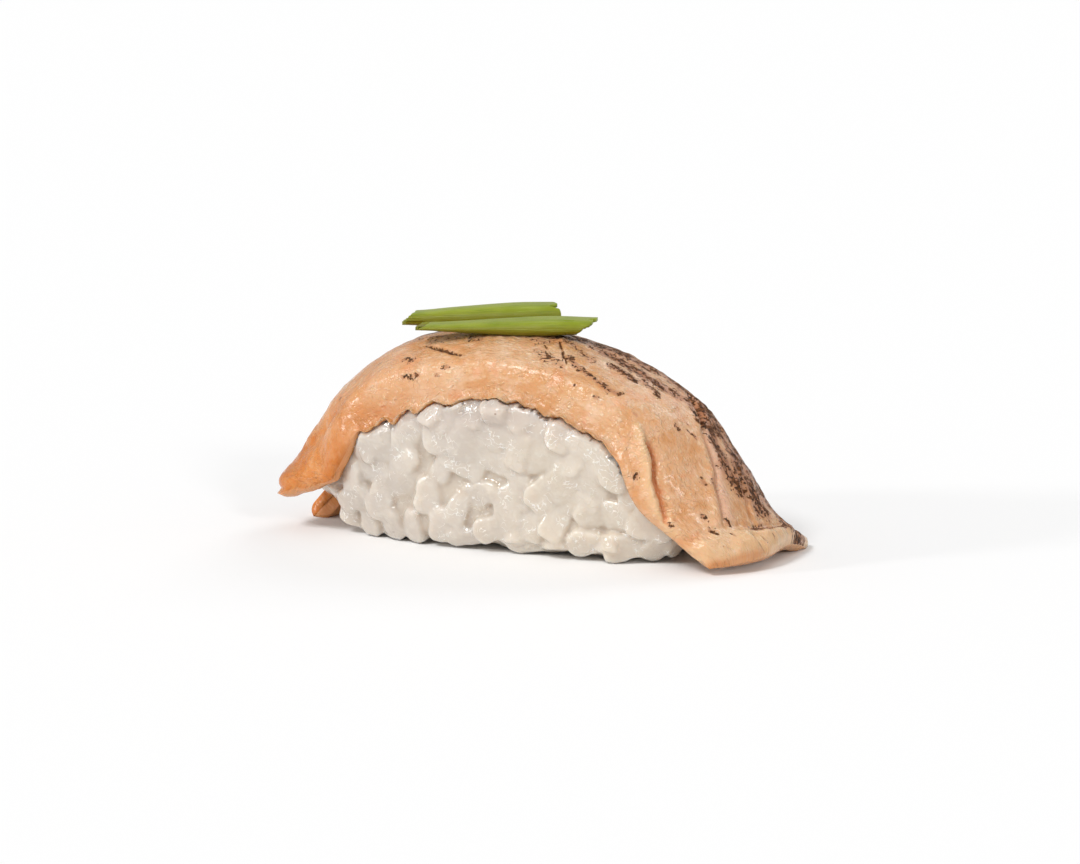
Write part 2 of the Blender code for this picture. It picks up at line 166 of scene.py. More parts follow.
def newMaterial(name):
    material = bpy.data.materials.new(name)
    material.use_nodes = True
    work["tree"] = material.node_tree
    return material, material.node_tree.nodes["Principled BSDF"]


def newGroup(name, inputs, output):
    group = bpy.data.node_groups.new(name, "ShaderNodeTree")
    work["tree"] = group
    for socket, kind, value in inputs:
        made = group.interface.new_socket(socket, in_out="INPUT", socket_type="NodeSocket" + kind)
        if value is not None:
            made.default_value = value
    group.interface.new_socket(output, in_out="OUTPUT", socket_type="NodeSocketFloat")
    return group, group.nodes.new("NodeGroupInput").outputs, group.nodes.new("NodeGroupOutput").inputs[0]


def feed(socket, value):
    if isinstance(value, bpy.types.NodeSocket):
        work["tree"].links.new(value, socket)
    elif isinstance(value, tuple) and len(value) == 3 and len(socket.default_value) == 4:
        socket.default_value = (*value, 1.0)
    else:
        socket.default_value = value


def setShader(shader, **values):
    for socket, value in values.items():
        feed(shader.inputs[socket.replace("_", " ")], value)


def addNode(kind, inputs, **settings):
    node = work["tree"].nodes.new("ShaderNode" + kind)
    for setting, value in settings.items():
        setattr(node, setting, value)
    for socket, value in inputs.items():
        feed(node.inputs[socket], value)
    return node


def useGroup(group, inputs):
    return addNode("Group", inputs, node_tree=group).outputs[0]


def maths(operation, first, second=0.0):
    return addNode("Math", {0: first, 1: second}, operation=operation).outputs[0]


def plus(first, second):
    return maths("ADD", first, second)


def minus(first, second):
    return maths("SUBTRACT", first, second)


def times(first, second):
    return maths("MULTIPLY", first, second)


def larger(first, second):
    return maths("MAXIMUM", first, second)


def mapped(value, low, high, lowOut=0.0, highOut=1.0):
    inputs = {0: value, 1: low, 2: high, 3: lowOut, 4: highOut}
    return addNode("MapRange", inputs, interpolation_type="SMOOTHSTEP").outputs[0]


def mixed(share, first, second):
    return addNode("Mix", {0: share, 6: first, 7: second}, data_type="RGBA").outputs[2]


def attribute(name):
    return addNode("Attribute", {}, attribute_name=name).outputs["Fac"]


def noiseNode(vector, scale, detail=2.0, roughness=0.5):
    inputs = {"Vector": vector, "Scale": scale, "Detail": detail, "Roughness": roughness}
    return addNode("TexNoise", inputs).outputs["Fac"]


def contours(vector, scale, detail, inner, outer, most=1.0):
    # Thin lines along the middle level of a noise
    level = maths("ABSOLUTE", minus(noiseNode(vector, scale, detail), 0.5))
    return mapped(level, inner, outer, most, 0.0)


def stretched(vector, *scale):
    return addNode("Mapping", {"Vector": vector, "Scale": scale}).outputs[0]


def pushed(vector, scale, reach):
    # Moves each place about by a noise
    push = addNode("TexNoise", {"Vector": vector, "Scale": scale, "Detail": 1.0}).outputs["Color"]
    push = addNode("VectorMath", {0: push, "Scale": reach}, operation="SCALE").outputs[0]
    return addNode("VectorMath", {0: vector, 1: push}, operation="ADD").outputs[0]


def bumped(strength, height, distance):
    return addNode("Bump", {"Strength": strength, "Distance": distance, "Height": height}).outputs[0]


def makeWetFilm():
    # Uneven wetness: fine threads and crinkles whose slopes catch tiny highlights. Size is in millimetres
    inputs = [("Vector", "Vector", None), ("Size", "Float", 0.8)]
    group, inputs, output = newGroup("wetFilm", inputs, "Height")
    vector = inputs["Vector"]
    scale = maths("DIVIDE", 1000.0, inputs["Size"])
    threads = contours(vector, scale, 1.0, 0.0, 0.06)
    patches = mapped(noiseNode(vector, times(scale, 0.30), 1.0), 0.44, 0.58)
    crinkles = noiseNode(vector, times(scale, 1.5), 2.0, 0.6)
    feed(output, plus(times(times(threads, patches), 0.28), times(crinkles, 0.8)))
    return group


def makeSpecks():
    # Sparse, small, ragged specks. Size is a share of the distance between them
    inputs = [("Vector", "Vector", None), ("Scale", "Float", 300.0), ("Size", "Float", 0.1)]
    group, inputs, output = newGroup("specks", inputs, "Mask")
    ragged = pushed(inputs["Vector"], 2200.0, 0.5 * mm)
    cells = addNode("TexVoronoi", {"Vector": ragged, "Scale": inputs["Scale"]})
    feed(output, mapped(minus(inputs["Size"], cells.outputs["Distance"]), -0.01, 0.02))
    return group


def makeScribble():
    # Burnt flakes: broken squiggles along the contours of a bent noise, and ragged flakes between them.
    # Vector is in millimetres along the flesh, Amount is how strongly it is burnt
    inputs = [("Vector", "Vector", None), ("Amount", "Float", 0.3)]
    group, inputs, output = newGroup("scribble", inputs, "Mask")
    vector = inputs["Vector"]
    bent = pushed(vector, 1.6, 0.7)
    clumps = times(minus(noiseNode(vector, 0.38, 1.0), 0.5), 0.45)
    heat = plus(clumps, times(minus(inputs["Amount"], 0.5), 0.31))
    lines = contours(stretched(bent, 0.75, 1.1, 1.0), 0.95, 1.5, 0.022, 0.045)
    breaks = plus(noiseNode(stretched(vector, 1.0, 1.0, 3.0), 0.90, 2.0), heat)
    flakes = plus(noiseNode(stretched(bent, 0.75, 1.2, 1.0), 1.50, 2.0, 0.6), heat)
    feed(output, larger(times(lines, mapped(breaks, 0.535, 0.560)), mapped(flakes, 0.630, 0.650)))
    return group


wetFilm = makeWetFilm()
specks = makeSpecks()
scribble = makeScribble()


# The salmon slice

salmon = {
    # The crown's line from the side, from the near lobe's tip to the hem: metres along and up
    "nearCrown": (
        (-0.0366, 0.0063), (-0.0346, 0.0094), (-0.0328, 0.0128), (-0.03, 0.017), (-0.0246, 0.0231),
        (-0.0155, 0.0285), (-0.004, 0.0303), (0.007, 0.0296), (0.0175, 0.0261), (0.0267, 0.0205),
        (0.0327, 0.0126), (0.0371, 0.0058), (0.0416, 0.003),
    ),
    # The far lobe's own end of that line, and where it joins
    "farTail": (
        (-0.0366, 0.0014), (-0.0342, 0.0043), (-0.032, 0.0085), (-0.0297, 0.0147), (-0.0243, 0.0223),
    ),
    "farJoinsAt": 5,
    # From the left end to the hem: half widths, thicknesses, and how far the long edges droop
    "halfWidths": (0.01, 0.0118, 0.0134, 0.0138, 0.0138, 0.0136, 0.013, 0.012),
    "thicknesses": (0.0036, 0.0048, 0.006, 0.0062, 0.006, 0.0056, 0.005, 0.0034),
    "nearDroops": (0.0002, 0.0038, 0.0064, 0.0062, 0.005, 0.0042, 0.0072, 0.0022),
    "farDroops": (0.002, 0.005, 0.007, 0.0078, 0.008, 0.0076, 0.0074, 0.0026),
    "droopPower": 2.6,
    "edgeThinning": 0.32,
    # The ends: rounding, the slanting cut, the lobes and the notch between them, and the hem
    "endRadius": 0.002,
    "endCut": 0.0012,
    "endCutReach": 0.16,
    "lobeSlant": 0.003,
    "lobeCorner": 0.0022,
    "notchPlace": 0.4,
    "notchFloor": 0.05,
    "notchFlank": 0.14,
    "notchDepth": 0.015,
    "toeSkew": 0.005,
    "toeReach": 0.012,
    "hemSlant": 0.0026,
    "hemCorners": (0.0016, 0.0008),
    "hemWave": 0.0004,
    "hemWaveTurns": 4.4,
    # Cells along and across each face
    "outerCells": (468, 152),
    "innerCells": (190, 66),
    # Grooves between the muscle layers: depth, half width and lip in millimetres, and a path of shares
    # along and places across
    "grooves": (
        (1.0, 0.34, 0.25, ((0.76, -0.745), (0.801, -0.78), (0.833, -0.83), (0.869, -0.89), (0.907, -0.97))),
        (1.1, 0.46, 0.3, ((0.742, 0.24), (0.775, 0.09), (0.796, -0.06), (0.806, -0.14))),
        (0.55, 0.36, 0.35, (
            (0.8, -0.14), (0.834, -0.26), (0.857, -0.31), (0.878, -0.41), (0.909, -0.51), (0.935, -0.62),
        )),
        (0.5, 0.4, 0.2, ((0.87, 0.05), (0.89, -0.03), (0.906, -0.06), (0.949, -0.22))),
        (0.22, 0.6, 0.15, ((0.675, -0.74), (0.722, -0.71), (0.746, -0.71), (0.78, -0.76))),
        (0.35, 0.5, 0.1, ((0.735, -0.8), (0.758, -0.89), (0.787, -0.94), (0.812, -0.97))),
        (0.6, 0.7, 0.2, ((0.3, 0.58), (0.45, 0.66), (0.7, 0.62))),
        (0.4, 0.8, 0.15, ((0.1, -0.62), (0.16, -0.66), (0.24, -0.7))),
    ),
    # The wet ridge left of the first groove: shares along, and places across
    "ridge": ((0.735, 0.784, 0.817, 0.845, 0.87, 0.905), (-0.725, -0.83, -0.865, -0.895, -0.925, -0.965)),
    # A pinker line beside the grooves: shares along, and places across
    "pinkLine": ((0.803, 0.829, 0.848, 0.876, 0.903, 0.919), (-0.06, -0.18, -0.24, -0.35, -0.45, -0.51)),
    # Where the rolled hem starts: places across, and shares along
    "hemStart": ((-1.0, -0.92, -0.6, -0.29, 0.55, 1.0), (0.928, 0.932, 0.937, 0.953, 0.98, 0.984)),
    # Cracks that the flame opened: depth and half width in millimetres, and a path
    "marks": (
        (0.5, 0.23, ((0.376, -0.45), (0.395, -0.51), (0.42, -0.57), (0.448, -0.64))),
        (0.45, 0.16, ((0.566, -0.22), (0.579, -0.34), (0.592, -0.46), (0.606, -0.56))),
        (0.2, 0.1, ((0.553, -0.36), (0.566, -0.44), (0.582, -0.51))),
    ),
    # Where the flame scorched the flesh: half width in millimetres, share of burnt surface, and a path
    "scorches": (
        (3.2, 0.95, ((0.5, 0.12), (0.57, 0.08), (0.64, 0.22), (0.73, 0.29), (0.78, 0.36))),
        (3.8, 1.0, ((0.78, 0.4), (0.84, 0.36), (0.9, 0.46), (0.985, 0.54))),
        (1.2, 0.58, ((0.56, -0.14), (0.6, -0.26), (0.625, -0.36))),
        (0.7, 0.85, ((0.596, -0.46), (0.618, -0.54), (0.64, -0.58), (0.668, -0.63), (0.695, -0.62))),
        (0.8, 0.9, ((0.65, -0.26), (0.692, -0.31))),
        (1.5, 1.0, ((0.625, -0.02), (0.668, -0.09), (0.703, -0.12), (0.735, -0.05), (0.765, 0.06))),
        (0.8, 0.85, ((0.7, -0.23), (0.73, -0.3))),
        (1.8, 1.05, ((0.775, 0.22), (0.806, 0.01), (0.83, -0.08), (0.868, -0.17), (0.898, -0.13))),
        (1.1, 0.85, ((0.87, 0.32), (0.895, 0.21), (0.915, 0.12), (0.935, 0.0))),
        (3.2, 0.88, ((0.79, 0.24), (0.84, 0.16), (0.89, 0.08), (0.935, 0.16))),
        (1.2, 0.55, ((0.555, -0.48), (0.6, -0.61))),
        (0.7, 0.9, ((0.764, -0.02), (0.776, -0.04), (0.79, -0.13))),
        (0.7, 0.9, ((0.952, -0.32), (0.958, -0.1), (0.97, 0.25), (0.982, 0.6))),
        (1.8, 0.52, ((0.46, -0.12), (0.52, -0.2), (0.56, -0.28))),
        (1.8, 0.52, ((0.345, -0.2), (0.4, -0.34), (0.46, -0.4))),
        (2.4, 0.78, ((0.1, -0.32), (0.16, -0.24), (0.24, -0.12), (0.36, 0.0))),
        (2.4, 0.66, ((0.34, 0.05), (0.42, 0.0), (0.5, 0.05))),
        (4.5, 0.45, ((0.2, 0.55), (0.36, 0.5), (0.6, 0.55))),
    ),
    # Single burnt spots: share along, place across, and radius in millimetres
    "spots": (
        (0.794, -0.77, 0.5), (0.807, -0.935, 0.55), (0.783, -0.44, 0.6), (0.786, -0.29, 0.35),
        (0.795, -0.35, 0.3), (0.806, -0.33, 0.45), (0.868, -0.52, 0.55), (0.877, -0.45, 0.6),
        (0.91, -0.72, 0.5), (0.93, -0.56, 0.55), (0.932, -0.75, 0.5), (0.899, -0.91, 0.3),
        (0.903, -0.955, 0.4), (0.947, -0.63, 0.35), (0.97, -0.45, 0.6), (0.973, -0.33, 0.4),
        (0.977, -0.18, 0.4), (0.637, -0.74, 0.35), (0.672, -0.75, 0.4), (0.73, -0.68, 0.45),
        (0.353, -0.61, 0.55), (0.366, -0.65, 0.65), (0.356, -0.77, 0.45), (0.368, -0.78, 0.45),
        (0.38, -0.775, 0.5), (0.414, -0.79, 0.35), (0.43, -0.745, 0.5), (0.3, -0.52, 0.4),
        (0.215, -0.62, 0.35),
    ),
}


def crownLine(points):
    # The line's points with their true distances from the hem, drawn on straight past both ends
    line = curveAt(points[::-1], np.linspace(0.0, 1.0, 1601))
    runs = np.concatenate([[0.0], np.cumsum(np.linalg.norm(np.diff(line, axis=0), axis=1))])
    before = line[0] + (line[0] - line[1]) / (runs[1] - runs[0]) * 10 * mm
    after = line[-1] + (line[-1] - line[-2]) / (runs[-1] - runs[-2]) * 10 * mm
    line = np.vstack([before, line, after])
    length = runs[-1]
    return {"line": line, "runs": np.concatenate([[-10 * mm], runs, [length + 10 * mm]]), "length": length}


nearLine = crownLine(salmon["nearCrown"])
farLine = crownLine(salmon["farTail"] + salmon["nearCrown"][salmon["farJoinsAt"]:])
nudge = 0.8 * mm
fullWidth = 13.8  # millimetres across, from the middle to an edge
fullLength = 92.0  # millimetres along


def crownPoint(line, run):
    x = np.interp(run, line["runs"], line["line"][:, 0])
    z = np.interp(run, line["runs"], line["line"][:, 1])
    return np.stack([x, np.zeros_like(x), z], axis=1)


def crownOutward(line, run):
    along = crownPoint(line, run - nudge) - crownPoint(line, run + nudge)
    return unit(np.stack([-along[:, 2], np.zeros(len(run)), along[:, 0]], axis=1))


def nearShare(across):
    floor = salmon["notchFloor"]
    return 1.0 - smoothStep(salmon["notchPlace"] - floor, salmon["notchPlace"] + floor, across)


def leftRun(across):
    near = nearShare(across)
    aside = np.abs(across - salmon["notchPlace"])
    floor = salmon["notchFloor"]
    notch = salmon["notchDepth"] * (1.0 - smoothStep(floor, floor + salmon["notchFlank"], aside))
    slant = salmon["lobeSlant"] * near * smoothStep(-1.0, salmon["notchPlace"], across)
    corner = salmon["lobeCorner"] * np.abs(across) ** 6 + slant
    return nearLine["length"] * near + farLine["length"] * (1.0 - near) - notch - corner


def hemRun(across):
    nearCorner, farCorner = salmon["hemCorners"]
    corner = np.where(across > 0.0, farCorner, nearCorner) * np.abs(across) ** 3
    slant = salmon["hemSlant"] * (1.0 - across) / 2.0
    return slant + corner + salmon["hemWave"] * np.sin(salmon["hemWaveTurns"] * across)


def sliceMiddle(run, across):
    share = 1.0 - run / farLine["length"]
    near = nearShare(across)[:, None]
    droops = np.where(across < 0.0, curveAt(salmon["nearDroops"], share), curveAt(salmon["farDroops"], share))
    inward = curveAt(salmon["thicknesses"], share) / 2.0 + droops * np.abs(across) ** salmon["droopPower"]
    crown = crownPoint(nearLine, run) * near + crownPoint(farLine, run) * (1.0 - near)
    outward = unit(crownOutward(nearLine, run) * near + crownOutward(farLine, run) * (1.0 - near))
    toe = smoothStep(farLine["length"] - salmon["toeReach"], farLine["length"], run)
    middle = crown - outward * inward[:, None]
    skew = salmon["toeSkew"] * (1.0 - near[:, 0]) * toe
    middle[:, 1] += curveAt(salmon["halfWidths"], share) * across - skew
    return middle


def sliceOutward(run, across):
    aside = nudge / salmon["halfWidths"][-1]
    along = sliceMiddle(run - nudge, across) - sliceMiddle(run + nudge, across)
    side = sliceMiddle(run, across + aside) - sliceMiddle(run, across - aside)
    return unit(np.cross(along, side))


def endRounding(distance, radius):
    inward = 1.0 - np.clip(distance / radius, 0.0, 1.0)
    return np.sqrt(np.maximum(0.0, 1.0 - inward * inward))


def fleshPlace(share, across):
    # Places on the spread-out slice, in millimetres along and across
    return np.stack([share * farLine["length"] / mm, across * fullWidth], axis=-1)


def nearestOnPath(flat, path):
    # Distance from each point to a path of straight runs, and how far along the path the nearest point lies
    points = fleshPlace(np.array([p[0] for p in path]), np.array([p[1] for p in path]))
    best = np.full(len(flat), 1e9)
    place = np.zeros(len(flat))
    done = 0.0
    total = np.linalg.norm(np.diff(points, axis=0), axis=1).sum()
    for start, end in zip(points[:-1], points[1:]):
        along = end - start
        length = np.linalg.norm(along)
        step = np.clip((flat - start) @ along / length**2, 0.0, 1.0)
        distance = np.linalg.norm(flat - start - step[:, None] * along, axis=1)
        closer = distance < best
        best[closer] = distance[closer]
        place[closer] = (done + step[closer] * length) / total
        done += length
    return best, place


def grooveRelief(share, across, flat, wobble):
    height = np.zeros(len(share))
    inside = np.zeros(len(share))
    for number, (depth, width, lip, path) in enumerate(salmon["grooves"]):
        path = np.array(path)
        centre = np.interp(share, path[:, 0], path[:, 1])
        fade = smoothStep(path[0, 0] - 0.005, path[0, 0] + 0.02, share)
        fade *= 1.0 - smoothStep(path[-1, 0] - 0.02, path[-1, 0] + 0.01, share)
        aside = (across - centre) * fullWidth + 0.10 * np.sin(flat[:, 0] * 0.9 + number) + 0.16 * wobble
        slope = np.clip(np.abs(np.gradient(path[:, 1], path[:, 0])).mean() * fullWidth / fullLength, 0.0, 1.2)
        aside /= math.hypot(1.0, slope)
        cut = np.exp(-np.abs(aside / width) ** 1.6) * fade
        height -= depth * cut
        height += lip * fade * np.exp(-(((aside + 2.4 * width) / (1.6 * width)) ** 2))
        height += 0.3 * lip * fade * np.exp(-(((aside - 2.6 * width) / (1.9 * width)) ** 2))
        inside = np.maximum(inside, cut * min(1.0, 1.1 * depth))
    return height, inside


def markRelief(flat, wobble):
    height = np.zeros(len(flat))
    inside = np.zeros(len(flat))
    for depth, width, path in salmon["marks"]:
        distance, place = nearestOnPath(flat, path)
        width = width * (0.45 + 0.75 * np.sin(np.pi * np.clip(place, 0.05, 0.95)))
        cut = np.exp(-np.clip((distance + 0.10 * wobble) / width, 0.0, 4.0) ** 2)
        height -= depth * cut
        inside = np.maximum(inside, cut)
    return height, inside


def scorchAmount(flat, cloud, rough):
    # How strongly the flame caught each place, patchy along the paths and fading out unevenly to their sides
    amount = np.zeros(len(flat))
    for width, burnt, path in salmon["scorches"]:
        distance, _ = nearestOnPath(flat, path)
        reach = 1.0 - smoothStep(0.15, 1.45, distance / width + 0.35 * cloud + 0.45 * rough)
        amount = np.maximum(amount, burnt * reach * (1.0 + 0.25 * rough))
    for share, across, radius in salmon["spots"]:
        run, aside = (flat - fleshPlace(share, across)).T
        distance = np.hypot(run / 1.7, aside / 0.65) / radius
        amount = np.maximum(amount, 0.78 * (1.0 - smoothStep(0.2, 1.6, distance + 0.3 * cloud)))
    return amount


def gridSheet(name, outerCells, innerCells):
    # Two flat grids, one over the other, bridged round the rim into one closed sheet
    deselectAll()
    bpy.ops.mesh.primitive_grid_add(x_subdivisions=outerCells[0], y_subdivisions=outerCells[1], size=2.0)
    sheet = bpy.context.object
    sheet.name = name
    sheet.data.name = name
    deselectAll()
    bpy.ops.mesh.primitive_grid_add(x_subdivisions=innerCells[0], y_subdivisions=innerCells[1], size=2.0)
    lining = bpy.context.object
    startEdit()
    bpy.ops.transform.translate(value=(0.0, 0.0, -0.05))
    bpy.ops.mesh.flip_normals()
    endEdit()
    joinInto(sheet, [lining])
    startEdit()
    bpy.ops.mesh.select_mode(type="EDGE")
    bpy.ops.mesh.select_all(action="DESELECT")
    bpy.ops.mesh.select_non_manifold()
    bpy.ops.mesh.bridge_edge_loops()
    endEdit()
    return sheet


def makeSalmon():
    sheet = gridSheet("salmonSlice", salmon["outerCells"], salmon["innerCells"])
    grid = placesOf(sheet)
    isInner = grid[:, 2] < -0.02
    even = (grid[:, 0] + 1.0) / 2.0
    along = 0.88 * even + 0.12 * (0.5 - 0.5 * np.cos(np.pi * even))
    across = 0.62 * grid[:, 1] + 0.38 * np.sin(np.pi / 2.0 * grid[:, 1])
    left = leftRun(across)
    hem = hemRun(across)
    run = left + (hem - left) * along
    share = 1.0 - run / farLine["length"]
    halfWidth = curveAt(salmon["halfWidths"], share)
    middle = sliceMiddle(run, across)
    outward = sliceOutward(run, across)
    thickness = curveAt(salmon["thicknesses"], share) * (1.0 - salmon["edgeThinning"] * np.abs(across) ** 3)
    toSide = (1.0 - np.abs(across)) * halfWidth
    toEnd = np.minimum(left - run, run - hem)
    rounding = endRounding(toSide, thickness / 2.0) * endRounding(toEnd, salmon["endRadius"])
    half = thickness / 2.0 * np.maximum(rounding, 0.04)
    past = salmon["endCut"] * nearShare(across) * (1.0 - smoothStep(0.0, salmon["endCutReach"], along))
    plainOuter = middle + outward * half[:, None]
    inner = sliceMiddle(run + past, across) - outward * half[:, None]
    plain = np.where(isInner[:, None], inner, plainOuter)
    low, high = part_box("salmon_slice")
    shift = (np.array(low) + np.array(high)) / 2.0 - (plain.min(0) + plain.max(0)) / 2.0
    shift[2] = 0.0
    print("salmon: laid out, moved by", np.round(shift / mm, 3))

    # The soft near edge thins out on to the rice, and only its ends keep their full thickness
    onRice = smoothStep(0.18, 0.27, share) * (1.0 - smoothStep(0.70, 0.80, share))
    thinning = onRice * smoothStep(0.66, 0.985, -across) ** 1.5
    outer = plainOuter - outward * (2.0 * half * 0.87 * thinning)[:, None]

    # Relief of the outer face, in millimetres
    flat = fleshPlace(share, across)
    flow = np.column_stack([flat, np.zeros(len(flat))])
    wobble = noiseAt(flow, 0.9, 3.0)
    cloud = noiseAt(flow, 4.2, 8.0)
    swells = 0.30 * noiseAt(middle, 7.5 * mm, 1.0) + 0.17 * noiseAt(middle, 2.6 * mm, 2.0)
    fine = 0.075 * noiseAt(middle, 1.15 * mm, 4.0) + 0.035 * wobble
    wrinkles = 1.0 - np.abs(noiseAt(flow * np.array([0.24, 1.0, 1.0]), 1.15, 5.0)) * 2.0
    wrinkled = 0.35 + 0.65 * smoothStep(0.62, 0.78, share)
    bands = np.sin(flat[:, 0] * 3.7 + 2.2 * cloud + 0.35 * flat[:, 1])
    banded = smoothStep(0.40, 0.46, share) * (1.0 - smoothStep(0.56, 0.62, share))
    banded *= smoothStep(-0.72, -0.45, across)
    ridge = np.exp(-(((across - np.interp(share, *salmon["ridge"])) / 0.042) ** 2))
    ridge *= smoothStep(0.725, 0.75, share) * (1.0 - smoothStep(0.905, 0.93, share))
    ribs = np.sin(flat[:, 0] * 11.5 + 0.9 * wobble) * (1.0 - smoothStep(0.785, 0.81, share))
    grooves, inGroove = grooveRelief(share, across, flat, wobble)
    marks, inMark = markRelief(flat, wobble)
    scorched = scorchAmount(flat, cloud, noiseAt(flow, 1.5, 14.0))
    blisters = scorched * np.maximum(noiseAt(flow * np.array([0.6, 1.0, 1.0]), 0.85, 9.0), 0.0)
    hemStart = np.interp(across, *salmon["hemStart"]) + 0.004 * wobble
    hemRoll = smoothStep(hemStart - 0.003, hemStart + 0.010, share) * (0.45 + 0.25 * cloud)
    hemRoll += 0.50 * noiseAt(flow, 2.0, 12.0) * smoothStep(hemStart - 0.01, hemStart + 0.01, share)
    hemRoll -= 0.22 * np.exp(-(((share - hemStart + 0.005) / 0.004) ** 2))
    height = swells + fine + 0.065 * wrinkles * wrinkled + 0.05 * bands * banded
    height += ridge * (0.55 + 0.16 * ribs)
    height += grooves + marks + 0.14 * blisters + hemRoll
    crease = np.exp(-(np.hypot((share - 0.985) * fullLength / 2.2, (across + 0.42) * fullWidth / 0.8) ** 2))
    height -= 0.9 * crease
    outer = outer + outward * (height * mm * rounding)[:, None]
    inner = inner + outward * (0.10 * mm * swells * rounding)[:, None]
    places = np.where(isInner[:, None], inner, outer)

    # Ragged long edges, where the soft flesh tore, and a slightly uneven hem
    sagging = np.interp(share, (0.05, 0.08, 0.11, 0.15, 0.19, 0.22), (0.0, 0.8, 2.4, 3.4, 1.5, 0.0))
    sagging *= smoothStep(-0.40, -1.0, across)
    reaching = smoothStep(0.10, 0.04, share) * nearShare(across)
    places[:, 2] -= (sagging - 0.5 * reaching) * mm
    places[:, 0] += (0.35 * sagging - 0.8 * reaching) * mm
    lifting = np.interp(share, (0.36, 0.44, 0.50, 0.57, 0.64), (0.0, 0.6, 1.0, 0.7, 0.0))
    places[:, 2] += lifting * smoothStep(-0.55, -1.0, across) * mm
    tear = 0.80 * noiseAt(flow, 2.4, 6.0) + 0.28 * noiseAt(flow, 0.9, 7.0)
    edge = smoothStep(0.78, 1.0, np.abs(across)) * (0.35 + 0.65 * onRice)
    places[:, 2] += tear * edge * 1.25 * mm
    places += shift
    places[:, 2] = np.maximum(places[:, 2], 0.0)
    setPlaces(sheet, places)

    # What the shader reads
    under = 0.75 * smoothStep(0.70, 0.15, (run - hem) / mm) * smoothStep(-0.30, -0.55, across)
    warm = np.maximum.reduce([
        1.2 * smoothStep(0.31, 0.12, share) * smoothStep(-0.10, -0.75, across),
        1.2 * smoothStep(0.14, 0.08, share),
        0.5 * smoothStep(-0.62, -0.92, across) * smoothStep(0.44, 0.25, share),
        0.55 * smoothStep(0.0, 0.3, across) * smoothStep(0.3, 0.1, share),
        0.22 * smoothStep(0.68, 0.76, share) * (1.0 - smoothStep(0.92, 0.95, share)),
        0.28 * smoothStep(0.45, 0.34, share),
        under,
    ])
    fat = smoothStep(hemStart - 0.004, hemStart + 0.008, share) * (0.8 + 0.2 * cloud) * (1.0 - under)
    pinkLine = np.interp(share, *salmon["pinkLine"])
    pink = np.exp(-(((across - pinkLine) / 0.070) ** 2)) * smoothStep(0.795, 0.815, share)
    pink *= smoothStep(0.94, 0.92, share)
    wet = 0.4 * onRice * smoothStep(-0.45, -0.62, across) + 0.6 * ridge + 0.4 * fat + 0.4
    masks = {"warm": warm, "fat": np.maximum(fat, ridge), "pink": pink, "wet": wet, "inner": 1.0 * isInner}
    for name, values in {"scorched": scorched, "burnt": inMark, "groove": inGroove}.items():
        masks[name] = values * (1.0 - isInner)
    for name, values in masks.items():
        keepMask(sheet, name, values)
    layFlow(sheet, flat)
    sheet.data.materials.append(salmonFinish())
    finishPiece(sheet, "salmon_slice")
    return sheet


def layFlow(piece, flat):
    # A UV map whose unit is a hundred millimetres along and across the flesh
    layer = piece.data.uv_layers.get("UVMap") or piece.data.uv_layers.new(name="UVMap")
    corners = np.empty(len(piece.data.loops), np.int32)
    piece.data.loops.foreach_get("vertex_index", corners)
    layer.data.foreach_set("uv", (flat[corners] / 100.0).astype(np.float32).ravel())


